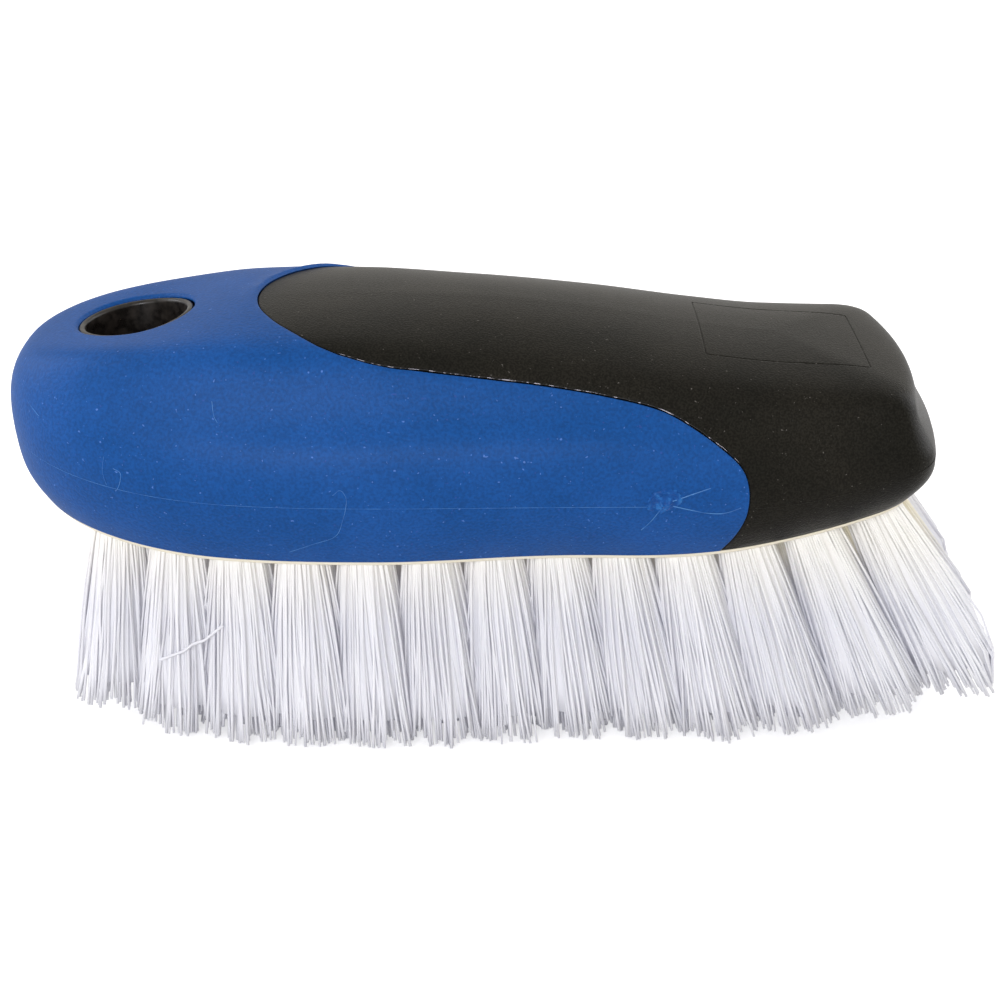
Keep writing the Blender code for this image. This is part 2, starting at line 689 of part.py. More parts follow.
def tuft(place, finish):
    """Packed root that splits into strands, each fanning out to the trimmed ends."""
    name, root, direction, tip = place
    frame = tuft_frame(root, direction)
    mesh = bmesh.new()
    lower = [mesh.verts.new(p + Vector((0, 0, TUFT_STAND))) for p in tuft_sides(TUFT_RADIUS)]
    upper = [mesh.verts.new(p - Vector((0, 0, TUFT_DEPTH))) for p in tuft_sides(TUFT_RADIUS)]
    mesh.faces.new(upper)
    for k in range(TUFT_SIDES):
        after = (k + 1) % TUFT_SIDES
        mesh.faces.new((lower[k], lower[after], upper[after], upper[k]))
    base = mesh.faces.new(lower)
    bmesh.ops.recalc_face_normals(mesh, faces=mesh.faces)
    wedges = bmesh.ops.poke(mesh, faces=[base])['faces']
    bmesh.ops.inset_individual(mesh, faces=wedges, thickness=STRAND_GAP)
    strands = bmesh.ops.extrude_discrete_faces(mesh, faces=wedges)['faces']
    ends = [(strand, [frame @ v.co for v in strand.verts]) for strand in strands]
    bmesh.ops.transform(mesh, matrix=frame, verts=mesh.verts)
    for strand, corners in ends:
        middle = sum(corners, Vector()) / len(corners)
        out = middle - (root + direction * TUFT_STAND)
        out.z = 0
        centre = tip + out.normalized() * (tuft_tip_radius() - STRAND_TIP)
        for vertex, corner in zip(strand.verts, corners):
            around = corner - middle
            around.z = 0
            end = centre + around.normalized() * STRAND_TIP
            end.z = -BLOCK_DROP - TRIM + trim_height(tip.x)
            vertex.co = end
    bmesh.ops.recalc_face_normals(mesh, faces=mesh.faces)
    piece = finished(name, mesh)
    return dress(piece, finish)


def remove_everything():
    """Clears the scene."""
    for old in list(bpy.data.objects):
        bpy.data.objects.remove(old, do_unlink=True)


def stand_on_ground(holder, pieces):
    """Moves the brush so that the origin lies on the ground under its middle."""
    bpy.context.view_layer.update()
    graph = bpy.context.evaluated_depsgraph_get()
    corners = []
    for piece in pieces:
        shown = piece.evaluated_get(graph)
        corners.extend(piece.matrix_world @ vertex.co for vertex in shown.data.vertices)
    middle_x = (min(c.x for c in corners) + max(c.x for c in corners)) / 2
    middle_y = (min(c.y for c in corners) + max(c.y for c in corners)) / 2
    holder.location = (-middle_x, -middle_y, -min(c.z for c in corners))
    bpy.context.view_layer.update()


def build_brush():
    """Models every piece and stands the brush on its bristles."""
    remove_everything()
    holder = bpy.data.objects.new(HOLDER, None)
    bpy.context.scene.collection.objects.link(holder)
    black = material('black_polypropylene', (0.17, 0.16, 0.15), 0.45, 0)
    blue = material('blue_soft_rubber', (0.09, 0.30, 0.60), 0.65, 0)
    ivory = material('ivory_polypropylene', (0.88, 0.83, 0.72), 0.5, 0)
    white = material('white_bristle', (0.91, 0.91, 0.93), 0.4, 0)
    steel = material('zinc_plated_steel', (0.75, 0.75, 0.74), 0.35, 1)
    tufts = tuft_places()
    pieces = [core(black), grip(blue), block(ivory, tufts)]
    for k, x in enumerate(screw_places()):
        pieces.append(screw(f'screw_{k + 1}', x, steel))
    pieces.extend(tuft(place, white) for place in tufts)
    stand_on_ground(holder, pieces)
    return pieces


build_brush()
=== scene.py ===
"""Palm scrub brush, dressed: black core, blue soft grip, ivory block, screws and bristles."""

import math
import random
from collections import namedtuple

import bmesh
import bpy
import numpy as np
from mathutils import Matrix, Vector, noise
from mathutils.bvhtree import BVHTree
from mathutils.kdtree import KDTree


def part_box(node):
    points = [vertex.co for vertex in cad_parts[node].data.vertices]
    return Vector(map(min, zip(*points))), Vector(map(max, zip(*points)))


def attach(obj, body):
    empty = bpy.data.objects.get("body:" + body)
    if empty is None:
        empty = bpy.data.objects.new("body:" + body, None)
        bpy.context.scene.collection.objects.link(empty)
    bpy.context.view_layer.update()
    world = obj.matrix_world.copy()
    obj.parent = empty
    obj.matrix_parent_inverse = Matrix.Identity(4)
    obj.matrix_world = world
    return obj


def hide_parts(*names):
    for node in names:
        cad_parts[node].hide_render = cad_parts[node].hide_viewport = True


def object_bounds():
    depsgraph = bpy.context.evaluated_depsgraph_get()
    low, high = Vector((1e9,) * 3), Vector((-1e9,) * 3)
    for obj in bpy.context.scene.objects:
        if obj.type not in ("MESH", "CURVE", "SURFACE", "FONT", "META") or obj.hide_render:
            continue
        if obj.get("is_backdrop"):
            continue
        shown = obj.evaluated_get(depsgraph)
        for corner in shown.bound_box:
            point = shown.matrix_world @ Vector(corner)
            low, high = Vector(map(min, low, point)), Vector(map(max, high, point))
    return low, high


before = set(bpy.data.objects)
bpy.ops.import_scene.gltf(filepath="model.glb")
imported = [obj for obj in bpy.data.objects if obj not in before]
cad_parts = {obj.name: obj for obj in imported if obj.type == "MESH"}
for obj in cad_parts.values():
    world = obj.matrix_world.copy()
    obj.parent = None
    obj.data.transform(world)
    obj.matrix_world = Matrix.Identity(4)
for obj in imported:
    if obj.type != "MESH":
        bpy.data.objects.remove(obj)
cad_low, cad_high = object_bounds()


# Black core.  One moulding of black polypropylene: it fills the palm with its bare crown,
# makes the whole nose and lines the hang hole.  The blue grip is moulded over the rest, and
# both share one outer form, which is worked out here and used again below.

HALF_LENGTH = 0.0771
HALF_WIDTH = 0.0322
HANDLE_HEIGHT = 0.0372
NOSE_ROCKER_RUN = 0.0541
NOSE_ROCKER_RADIUS = 0.147
TAIL_ROCKER_RUN = 0.0391
TAIL_ROCKER_RADIUS = 0.160
NOSE_BOW = 0.003
NOSE_CORNER = 0.005
WAIST = 0.0022
WAIST_RUN_SHARE = 0.68
WIDEST_X = -0.2075 * HALF_LENGTH
NARROWING = 2.4
FIRST_SCREW_X = -0.0355
BLOCK_DROP = 0.0013

# Six levels from the underside up to the crown edge.  Each gives the ends of its outline as
# shares of half the length, its half widths amidships and at the nose as shares of half the
# width, and its height along the length as shares of the height.  fullness is the power of the
# tail's curve, follow how much of the rocker the level takes, side_inset and drop how much of
# an inset goes sideways and down, and waist and corner how much it has of those.
Level = namedtuple("Level", "tail nose wide nose_wide fullness follow side_inset drop waist "
                            "corner heights")
SOLE, RIM, PARTING, CROWN = 0, 1, 2, 5
LEVEL_SHARES = (
    Level(-0.950, 0.970, 0.826, 0.628, 2.3, 1.0, 1.0, 0.0, 1.0, 1.0,
          ((-1.0, 0.0), (1.0, 0.0))),
    Level(-0.982, 0.998, 0.872, 0.690, 2.3, 1.0, 1.0, 0.0, 0.9, 1.0,
          ((-1.0, 0.044), (1.0, 0.044))),
    Level(-1.000, 0.993, 0.998, 0.800, 2.3, 0.9, 1.0, 0.0, 0.2, 1.0,
          ((-1.0, 0.306), (-0.52, 0.323), (0.39, 0.310), (0.65, 0.240), (1.0, 0.220))),
    Level(-1.000, 0.975, 0.986, 0.812, 2.3, 0.7, 0.95, 0.3, 0.0, 1.1,
          ((-1.0, 0.520), (-0.78, 0.530), (-0.40, 0.540), (0.0, 0.560), (0.27, 0.560),
           (0.45, 0.500), (0.65, 0.395), (1.0, 0.350))),
    Level(-0.972, 0.950, 0.860, 0.770, 2.6, 0.4, 0.75, 0.65, 0.0, 0.75,
          ((-1.0, 0.705), (-0.78, 0.690), (-0.40, 0.680), (0.0, 0.690), (0.27, 0.690),
           (0.45, 0.640), (0.65, 0.570), (1.0, 0.535))),
    Level(-0.933, 0.930, 0.712, 0.742, 2.7, 0.0, 0.6, 0.8, 0.0, 0.95,
          ((-1.0, 0.760), (-0.96, 0.795), (-0.82, 0.866), (-0.66, 0.908), (-0.48, 0.936),
           (-0.27, 0.938), (0.0, 0.896), (0.26, 0.846), (0.49, 0.787), (0.65, 0.754),
           (0.90, 0.742), (1.0, 0.742))),
)

# The domed top: heights along the centre line, the ends of that line, and how the dome falls
# from it to the crown edge
SPINE_HEIGHT_SHARES = (
    (-1.0, 0.780), (-0.86, 0.850), (-0.72, 0.885), (-0.48, 0.976), (-0.27, 0.997),
    (0.0, 0.985), (0.26, 0.932), (0.49, 0.855), (0.65, 0.817), (0.78, 0.801), (1.0, 0.790),
)
SPINE_TAIL = -0.72 * HALF_LENGTH
SPINE_NOSE = 0.65 * HALF_LENGTH
DOME_POWER = 2.3
DOME_EDGE_SHARE = 0.68

# How much the levels are faired into each other
FAIRING_PASSES = 16

# How finely the form is drawn, and how near points of it merge
TAIL_STEPS = 44
SIDE_STEPS = 64
CORNER_STEPS = 10
END_STEPS = 12
RINGS_PER_LEVEL = 10
DOME_RINGS = 20
FORM_WELD = 0.00002

# The datum: middle of the handle, on its flat underside
first_low, first_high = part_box("screw_1")
DATUM = Vector(((first_low.x + first_high.x) / 2 - FIRST_SCREW_X, 0,
                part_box("bristle_block")[0].z + BLOCK_DROP))


def through(points, place):
    """Smooth curve through (place, value) pairs that never overshoots them."""
    places = [point[0] for point in points]
    values = [point[1] for point in points]
    if place <= places[0]:
        return values[0]
    if place >= places[-1]:
        return values[-1]
    steps = [b - a for a, b in zip(places, places[1:])]
    slopes = [(b - a) / step for a, b, step in zip(values, values[1:], steps)]
    tangents = [slopes[0]]
    for k in range(1, len(steps)):
        if slopes[k - 1] * slopes[k] <= 0:
            tangents.append(0.0)
            continue
        before = 2 * steps[k] + steps[k - 1]
        after = steps[k] + 2 * steps[k - 1]
        tangents.append((before + after) / (before / slopes[k - 1] + after / slopes[k]))
    tangents.append(slopes[-1])
    k = max(i for i in range(len(steps)) if places[i] <= place)
    t = (place - places[k]) / steps[k]
    ends = values[k] * (1 + 2 * t) * (1 - t) ** 2 + values[k + 1] * t * t * (3 - 2 * t)
    bend = tangents[k] * t * (1 - t) ** 2 - tangents[k + 1] * t * t * (1 - t)
    return ends + steps[k] * bend


def arc_rise(past, radius):
    """How far an arc of this radius has risen at a distance past its start."""
    reach = min(max(past, 0), radius)
    return radius - math.sqrt(radius * radius - reach * reach)


def underside(x):
    """Height of the underside, which rocks up at the nose and at the tail."""
    nose = arc_rise(x - HALF_LENGTH + NOSE_ROCKER_RUN, NOSE_ROCKER_RADIUS)
    return nose + arc_rise(TAIL_ROCKER_RUN - HALF_LENGTH - x, TAIL_ROCKER_RADIUS)


def half_outline(level, inset):
    """Near half of a level's outline, from the tail's tip to the middle of the nose."""
    shares = LEVEL_SHARES[level]
    side_inset = inset * shares.side_inset
    tail = shares.tail * HALF_LENGTH + side_inset
    nose = shares.nose * HALF_LENGTH - inset
    wide = shares.wide * HALF_WIDTH - side_inset
    nose_wide = shares.nose_wide * HALF_WIDTH - side_inset
    nose_side = nose - NOSE_BOW
    corner_size = NOSE_CORNER * shares.corner
    corner_start = nose_side - corner_size

    def side(x):
        run = (x - WIDEST_X) / (nose - WIDEST_X)
        waist = WAIST * math.sin(math.pi * min(run / WAIST_RUN_SHARE, 1)) ** 2
        return wide + (nose_wide - wide) * run ** NARROWING - waist * shares.waist

    def nose_end(y):
        return nose - NOSE_BOW * (y / nose_wide) ** 2

    points = []
    for k in range(TAIL_STEPS):
        angle = math.pi / 2 * k / TAIL_STEPS
        along = math.cos(angle) ** (2 / shares.fullness)
        across = math.sin(angle) ** (2 / shares.fullness)
        points.append((WIDEST_X - (WIDEST_X - tail) * along, -wide * across))
    for k in range(SIDE_STEPS):
        x = WIDEST_X + (corner_start - WIDEST_X) * k / SIDE_STEPS
        points.append((x, -side(x)))
    start = Vector((corner_start, -side(corner_start)))
    corner = Vector((nose_side, -side(nose_side)))
    end_y = corner.y + corner_size
    end = Vector((nose_end(end_y), end_y))
    for k in range(CORNER_STEPS):
        t = k / CORNER_STEPS
        point = start * (1 - t) ** 2 + corner * (2 * t * (1 - t)) + end * t * t
        points.append((point.x, point.y))
    for k in range(END_STEPS + 1):
        y = end_y * (1 - k / END_STEPS)
        points.append((nose_end(y), y))
    return points


def level_ring(level, inset):
    """Near half of a level as points in space."""
    shares = LEVEL_SHARES[level]
    ring = []
    for x, y in half_outline(level, inset):
        height = through(shares.heights, x / HALF_LENGTH) * HANDLE_HEIGHT
        ring.append((x, y, height + shares.follow * underside(x) - shares.drop * inset))
    return np.array(ring)


def spine_x(x):
    """Nearest place on the centre line between its two ends."""
    return min(max(x, SPINE_TAIL), SPINE_NOSE)


def spine_height(x, inset):
    """Height of the domed top over the centre line."""
    return through(SPINE_HEIGHT_SHARES, x / HALF_LENGTH) * HANDLE_HEIGHT - inset


def dome_ring(edge, share, inset):
    """Ring of the domed top: the crown edge drawn in towards the centre line."""
    ring = []
    for x, y, z in edge:
        inner_x = spine_x(x) + (x - spine_x(x)) * share
        fall = (z - spine_height(x, inset)) * share ** DOME_POWER
        ring.append((inner_x, y * share, spine_height(inner_x, inset) + fall))
    return np.array(ring)


def between(before, start, end, after, t):
    """Points on a smooth curve from start to end, with their neighbours on either side."""
    straight = 2 * start + (end - before) * t
    second = (2 * before - 5 * start + 4 * end - after) * t * t
    third = (3 * start - before - 3 * end + after) * t ** 3
    return (straight + second + third) / 2


def form_rings(inset, lip):
    """Half rings of the outer form, from a lip turned in under the sole to the centre line."""
    levels = [level_ring(level, inset) for level in range(len(LEVEL_SHARES))]
    levels.append(dome_ring(levels[CROWN], DOME_EDGE_SHARE, inset))
    lip_ring = np.array([(x, y, underside(x)) for x, y in half_outline(SOLE, inset + lip)])
    rings = [lip_ring, levels[SOLE]]
    for k in range(RIM, CROWN):
        for step in range(RINGS_PER_LEVEL):
            rings.append(between(levels[k - 1], levels[k], levels[k + 1], levels[k + 2],
                                 step / RINGS_PER_LEVEL))
    for k in range(DOME_RINGS + 1):
        rings.append(dome_ring(levels[CROWN], 1 - k / DOME_RINGS, inset))
    rings = np.array(rings)
    for _ in range(FAIRING_PASSES):
        rings[2:-1] += ((rings[1:-2] + rings[3:]) / 2 - rings[2:-1]) / 2
    return rings


def join_loops(mesh, loops):
    """Adds faces between each closed loop of vertices and the next."""
    for lower, upper in zip(loops, loops[1:]):
        for k in range(len(lower)):
            after = (k + 1) % len(lower)
            mesh.faces.new((lower[k], lower[after], upper[after], upper[k]))


def loft(half_rings, weld):
    """Skin through half rings and their mirror images, as a bmesh in the row frame."""
    mesh = bmesh.new()
    loops = []
    for ring in half_rings:
        near = [Vector(p) for p in ring]
        far = [Vector((p.x, -p.y, p.z)) for p in reversed(near[1:-1])]
        loops.append([mesh.verts.new(p + DATUM) for p in near + far])
    join_loops(mesh, loops)
    bmesh.ops.remove_doubles(mesh, verts=mesh.verts, dist=weld)
    bmesh.ops.dissolve_degenerate(mesh, edges=mesh.edges, dist=weld)
    bmesh.ops.recalc_face_normals(mesh, faces=mesh.faces)
    return mesh


# Where the core is bare: its crown's round tip in plan, and in side view a line along the
# crown edge that drops round the nose end of the grip.  The two blend where they meet, and
# past its round end the tip's own edge gives way to the line.
CROWN_TIP_FROM_TAIL = 0.0417
CROWN_TIP_X = CROWN_TIP_FROM_TAIL - HALF_LENGTH
CROWN_TIP_LENGTH = 0.0240
CROWN_HALF_WIDTH = 0.0228
GRIP_LINE_SHARES = (
    (-0.50, 1.060), (-0.40, 1.010), (-0.29, 0.932), (-0.141, 0.869), (0.003, 0.832),
    (0.139, 0.801), (0.275, 0.758), (0.378, 0.707), (0.444, 0.642), (0.503, 0.563),
    (0.549, 0.478), (0.566, 0.382), (0.566, 0.260), (0.553, 0.158), (0.534, 0.069),
    (0.515, 0.0), (0.490, -0.10),
)
LINE_STEPS = 8
TIP_STEPS = 48
LINE_BLEND = 0.0025
TIP_FADE = 0.3


def line_distance(line, points):
    """Distance in a plane from each point to an open line."""
    least = np.full(len(points), np.inf)
    for start, end in zip(line, line[1:]):
        along = end - start
        t = np.clip(((points - start) @ along) / (along @ along), 0, 1)
        away = np.linalg.norm(points - start - t[:, None] * along, axis=1)
        least = np.minimum(least, away)
    return least


def inside(outline, points):
    """Which points of a plane lie in an outline."""
    within = np.zeros(len(points), bool)
    for start, end in zip(outline, np.roll(outline, -1, axis=0)):
        crosses = (start[1] > points[:, 1]) != (end[1] > points[:, 1])
        slope = (end[0] - start[0]) / ((end[1] - start[1]) or 1)
        within ^= crosses & (points[:, 0] < start[0] + (points[:, 1] - start[1]) * slope)
    return within


def grip_side(points):
    """How far each point lies outside the bare region; negative where the core is bare."""
    knots = [np.array((x * HALF_LENGTH, z * HANDLE_HEIGHT)) for x, z in GRIP_LINE_SHARES]
    line = []
    for before, start, end, after in zip(knots, knots[1:], knots[2:], knots[3:]):
        steps = np.arange(LINE_STEPS) / LINE_STEPS
        line.extend(between(before, start, end, after, t) for t in steps)
    line.append(knots[-2])
    reach = 2 * HALF_LENGTH
    beyond = [(line[-1][0], -reach), (reach, -reach), (reach, reach), (line[0][0], reach)]
    side_view = points[:, [0, 2]]
    off_side = line_distance(line, side_view)
    off_side[inside(np.array(line + beyond), side_view)] *= -1
    tip_end = CROWN_TIP_X + CROWN_TIP_LENGTH
    turns = math.pi * (0.5 + np.arange(TIP_STEPS + 1) / TIP_STEPS)
    tip = [np.array((tip_end + CROWN_TIP_LENGTH * math.cos(turn),
                     CROWN_HALF_WIDTH * math.sin(turn))) for turn in turns]
    tip = [np.array((reach, CROWN_HALF_WIDTH))] + tip + [np.array((reach, -CROWN_HALF_WIDTH))]
    plan = points[:, :2]
    off_tip = line_distance(tip, plan)
    off_tip[inside(np.array(tip), plan)] *= -1
    off_tip += TIP_FADE * np.maximum(points[:, 0] - tip_end, 0)
    mix = np.clip(0.5 + (off_side - off_tip) / (2 * LINE_BLEND), 0, 1)
    return off_side * (1 - mix) + off_tip * mix - LINE_BLEND * mix * (1 - mix)


def places_of(mesh):
    """Vertex places of a bmesh, measured from the datum."""
    return np.array([v.co - DATUM for v in mesh.verts])


def set_field(mesh, name, values):
    """Stores a number on each vertex."""
    layer = mesh.verts.layers.float.get(name) or mesh.verts.layers.float.new(name)
    for vertex, value in zip(mesh.verts, values):
        vertex[layer] = value
    return layer


def cut_along(mesh, layer, value):
    """Cuts the faces along the line where a stored number has this value."""
    near = [e for e in mesh.edges
            if (e.verts[0][layer] - value) * (e.verts[1][layer] - value) < 0]
    made = []
    for edge in near:
        start, end = edge.verts
        share = (value - start[layer]) / (end[layer] - start[layer])
        made.append(bmesh.utils.edge_split(edge, start, share)[1])
        made[-1][layer] = value
    bmesh.ops.connect_verts(mesh, verts=made)
    return made


def keep_side(mesh, layer, sign):
    """Keeps the faces on one side of the line where a stored number is zero."""
    cut_along(mesh, layer, 0)
    gone = [f for f in mesh.faces if sum(v[layer] for v in f.verts) * sign < 0]
    bmesh.ops.delete(mesh, geom=gone, context='FACES')


# How the skins are finished along a cut edge: points on each of its stretches that distances
# are measured from, steps of its round, lines in the skin behind it in radii of the round, how
# near points merge, and how near to the cut a point counts as on it
EDGE_SAMPLES = 8
ROLL_STEPS = 5
SKIN_LINES = (1.5, 2.2, 3.2)
CUT_WELD = 0.00001
ON_CUT = 1e-9


def edge_distance(mesh, layer, reach):
    """Replaces the stored number by the true distance to the cut edge, up to a reach."""
    rim = {v for v in mesh.verts if abs(v[layer]) < ON_CUT and v.is_boundary}
    samples = [v.co for v in mesh.verts if v in rim]
    for edge in mesh.edges:
        if edge.is_boundary and set(edge.verts) <= rim:
            a, b = edge.verts
            samples.extend(a.co.lerp(b.co, k / EDGE_SAMPLES) for k in range(1, EDGE_SAMPLES))
    tree = KDTree(len(samples))
    for k, place in enumerate(samples):
        tree.insert(place, k)
    tree.balance()
    for vertex in mesh.verts:
        vertex[layer] = min(tree.find(vertex.co)[2], reach)


def roll_edge(mesh, layer, radius, extra=None):
    """Rounds the cut edge over by this radius; extra lifts the skin near it."""
    for k in range(1, ROLL_STEPS + 1):
        cut_along(mesh, layer, radius * (1 - math.cos(math.pi / 2 * k / ROLL_STEPS)))
    for radii in SKIN_LINES:
        cut_along(mesh, layer, radius * radii)
    bmesh.ops.remove_doubles(mesh, verts=mesh.verts, dist=CUT_WELD)
    mesh.normal_update()
    moved = []
    for vertex in mesh.verts:
        past = max(radius - vertex[layer], 0)
        fall = radius - math.sqrt(max(radius * radius - past * past, 0))
        lift = extra(vertex.co - DATUM, vertex[layer]) if extra else 0
        moved.append(vertex.co + vertex.normal * (lift - fall))
    for vertex, place in zip(mesh.verts, moved):
        vertex.co = place


def smooth(data, crease):
    """Shades a mesh smooth, but for edges that turn by more than this angle in degrees."""
    data.shade_smooth()
    data.set_sharp_from_angle(angle=math.radians(crease))


def finish_piece(name, mesh, finish, crease, node=None):
    """Object from a bmesh: smooth, with its material, on the brush's body."""
    data = bpy.data.meshes.new(name)
    mesh.to_mesh(data)
    mesh.free()
    piece = bpy.data.objects.new(name, data)
    bpy.context.scene.collection.objects.link(piece)
    data.materials.append(finish)
    smooth(data, crease)
    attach(piece, "root")
    if node:
        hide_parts(node)
    return piece


def thicken(piece, thickness):
    """Gives an open skin its wall, inwards."""
    wall = piece.modifiers.new("wall", 'SOLIDIFY')
    wall.thickness = thickness
    wall.offset = -1
    wall.use_rim = True


def linear(hex_colour):
    """Linear colour from an sRGB hex value."""
    channels = [int(hex_colour[k:k + 2], 16) / 255 for k in (1, 3, 5)]
    return [c / 12.92 if c <= 0.04045 else ((c + 0.055) / 1.055) ** 2.4 for c in channels] + [1]


def add(tree, kind, settings=None, links=None):
    """Adds a node, sets its properties, values and ramp stops, and links its inputs."""
    node = tree.nodes.new(kind)
    for name, value in (settings or {}).items():
        if name == "stops":
            ramp = node.color_ramp.elements
            while len(ramp) < len(value):
                ramp.new(0.5)
            for element, (place, colour) in zip(ramp, value):
                element.position = place
                element.color = linear(colour)
        elif isinstance(name, int) or name in node.inputs and not hasattr(node, name):
            node.inputs[name].default_value = value
        else:
            setattr(node, name, value)
    for name, source in (links or {}).items():
        tree.links.new(source, node.inputs[name])
    return node


def new_material(name, values):
    """Node material with these shader values: its tree, shader and coordinates in metres."""
    made = bpy.data.materials.new(name)
    made.use_nodes = True
    tree = made.node_tree
    shader = tree.nodes["Principled BSDF"]
    for socket, value in values.items():
        shader.inputs[socket].default_value = value
    place = tree.nodes.new("ShaderNodeTexCoord").outputs["Object"]
    return made, tree, shader, place


def per_mm(size_mm):
    """Texture scale that gives features of this size in millimetres."""
    return 1000 / size_mm


BLACK_GRAIN_DEPTH = 0.00004


def black_polypropylene():
    """Spark-eroded mould finish: near black and satin, grey where light grazes it, with a grain
    that sparkles and a little lint.  The grain is drawn at 0.3 mm, coarser than the real one."""
    made, tree, shader, place = new_material(
        "black_polypropylene_moulded",
        {"Roughness": 0.28, "IOR": 1.49, "Specular IOR Level": 0.045})
    cloud = add(tree, "ShaderNodeTexNoise", {"Scale": per_mm(14), "Detail": 3}, {"Vector": place})
    tone = add(tree, "ShaderNodeValToRGB", {"stops": ((0.35, "#201f1b"), (0.65, "#272520"))},
               {"Fac": cloud.outputs["Fac"]})
    grain = add(tree, "ShaderNodeTexNoise", {"Scale": per_mm(0.3), "Detail": 0},
                {"Vector": place})
    mottle = add(tree, "ShaderNodeValToRGB", {"stops": ((0.35, "#c8c8c8"), (0.65, "#ffffff"))},
                 {"Fac": grain.outputs["Fac"]})
    grained = add(tree, "ShaderNodeMix", {"data_type": 'RGBA', "blend_type": 'MULTIPLY', 0: 1.0},
                  {6: tone.outputs["Color"], 7: mottle.outputs["Color"]})
    speck = add(tree, "ShaderNodeTexNoise", {"Scale": per_mm(0.55), "Detail": 2},
                {"Vector": place})
    lint = add(tree, "ShaderNodeValToRGB", {"stops": ((0.715, "#000000"), (0.77, "#6e6a66"))},
               {"Fac": speck.outputs["Fac"]})
    colour = add(tree, "ShaderNodeMix", {"data_type": 'RGBA', "blend_type": 'ADD', 0: 0.7},
                 {6: grained.outputs[2], 7: lint.outputs["Color"]})
    tree.links.new(colour.outputs[2], shader.inputs["Base Color"])
    facets = add(tree, "ShaderNodeValToRGB", {"stops": ((0.42, "#000000"), (0.66, "#ffffff"))},
                 {"Fac": grain.outputs["Fac"]})
    bump = add(tree, "ShaderNodeBump", {"Strength": 0.45, "Distance": BLACK_GRAIN_DEPTH},
               {"Height": facets.outputs["Color"]})
    tree.links.new(bump.outputs["Normal"], shader.inputs["Normal"])
    return made


# The core's skin: how far its crown lies under the outer form, how far it turns in under the
# sole, its wall, the round of its edge, and how far in from the edge distances are kept
CROWN_SINK = 0.0002
SKIN_LIP = 0.0010
CORE_WALL = 0.0016
CORE_EDGE = 0.00030
EDGE_REACH = 0.004

# The line that the flash follows: how far in from the core's edge, and how far over its skin
FLASH_INSET = 0.00010
FLASH_RISE = -0.00003

# Bare place on the nose, with a fine groove round it, and the skin near the groove, which is
# drawn finer
PLACE_START_X = 0.0377
PLACE_END_X = 0.0643
PLACE_NEAR_Y = -0.0136
PLACE_FAR_Y = 0.0124
PLACE_CORNER = 0.0002
PLACE_MARGIN = 0.0015
PLACE_CUTS = 3
GROOVE = 0.00015
GROOVE_DEPTH = 0.00012

# A distance that stands for out of reach
FAR_OFF = 1.0

black = black_polypropylene()
core_mesh = loft(form_rings(CROWN_SINK, SKIN_LIP - CROWN_SINK), FORM_WELD)
side_of = set_field(core_mesh, "edge", grip_side(places_of(core_mesh)))
keep_side(core_mesh, side_of, -1)
edge_distance(core_mesh, side_of, EDGE_REACH)
core_mesh.normal_update()
crown_edge = [v.co + v.normal * FLASH_RISE for v in cut_along(core_mesh, side_of, FLASH_INSET)]
roll_edge(core_mesh, side_of, CORE_EDGE)


def off_place(points):
    """Distance in plan from the outline of the bare place on the nose."""
    low = np.array((PLACE_START_X, PLACE_NEAR_Y))
    high = np.array((PLACE_END_X, PLACE_FAR_Y))
    away = np.abs(points[:, :2] - (low + high) / 2) - (high - low) / 2 + PLACE_CORNER
    out = np.linalg.norm(np.maximum(away, 0), axis=1) + np.minimum(away.max(axis=1), 0)
    out = out - PLACE_CORNER
    out[points[:, 2] < HANDLE_HEIGHT / 2] = FAR_OFF
    return out


near_place = {v for v, off in zip(core_mesh.verts, off_place(places_of(core_mesh)))
              if off < PLACE_MARGIN}
bmesh.ops.subdivide_edges(core_mesh, edges=[e for e in core_mesh.edges
                                            if set(e.verts) <= near_place],
                          cuts=PLACE_CUTS, use_grid_fill=True)
groove = set_field(core_mesh, "groove", off_place(places_of(core_mesh)))
for reach in (-GROOVE, -GROOVE / 2, 0, GROOVE / 2, GROOVE):
    cut_along(core_mesh, groove, reach)
core_mesh.normal_update()
for vertex in core_mesh.verts:
    share = max(0, 1 - abs(vertex[groove]) / GROOVE)
    vertex.co -= vertex.normal * GROOVE_DEPTH * share
core_skin = finish_piece("core_skin", core_mesh, black, crease=50,
                         node="handle_core")
thicken(core_skin, CORE_WALL)


def close_loops(mesh, loops):
    """Adds the wall through closed loops of vertices, and a face at each end."""
    join_loops(mesh, loops)
    mesh.faces.new(loops[0][::-1])
    mesh.faces.new(loops[-1])


def add_tube(mesh, path, radii, sides, turn=0, level=(0, 0, 1)):
    """Adds a closed tube along a path, with a radius for each of its points."""
    rings = []
    for k, place in enumerate(path):
        ahead = path[min(k + 1, len(path) - 1)] - path[max(k - 1, 0)]
        across = ahead.cross(Vector(level)).normalized()
        upward = ahead.cross(across).normalized()
        ring = []
        for side in range(sides):
            angle = turn + 2 * math.pi * side / sides
            ring.append(mesh.verts.new(place + (across * math.cos(angle)
                                                + upward * math.sin(angle)) * radii[k]))
        rings.append(ring)
    close_loops(mesh, rings)


def flash_painted_highlight():
    """Thin flash of the black moulding, glossy near black, with pale grey patches painted in as
    the highlights that glint along the edge.
    """
    made, tree, shader, place = new_material("black_polypropylene_flash_painted_highlight", {"Roughness": 0.3})
    patch_noise = add(tree, "ShaderNodeTexNoise", {"Scale": per_mm(0.9), "Detail": 4}, {"Vector": place})
    # Pale grey patches: painted highlights along the crown edge
    tone = add(tree, "ShaderNodeValToRGB", {"stops": ((0.50, "#1b191b"), (0.60, "#c9c4d0"))},
               {"Fac": patch_noise.outputs["Fac"]})
    tree.links.new(tone.outputs["Color"], shader.inputs["Base Color"])
    return made


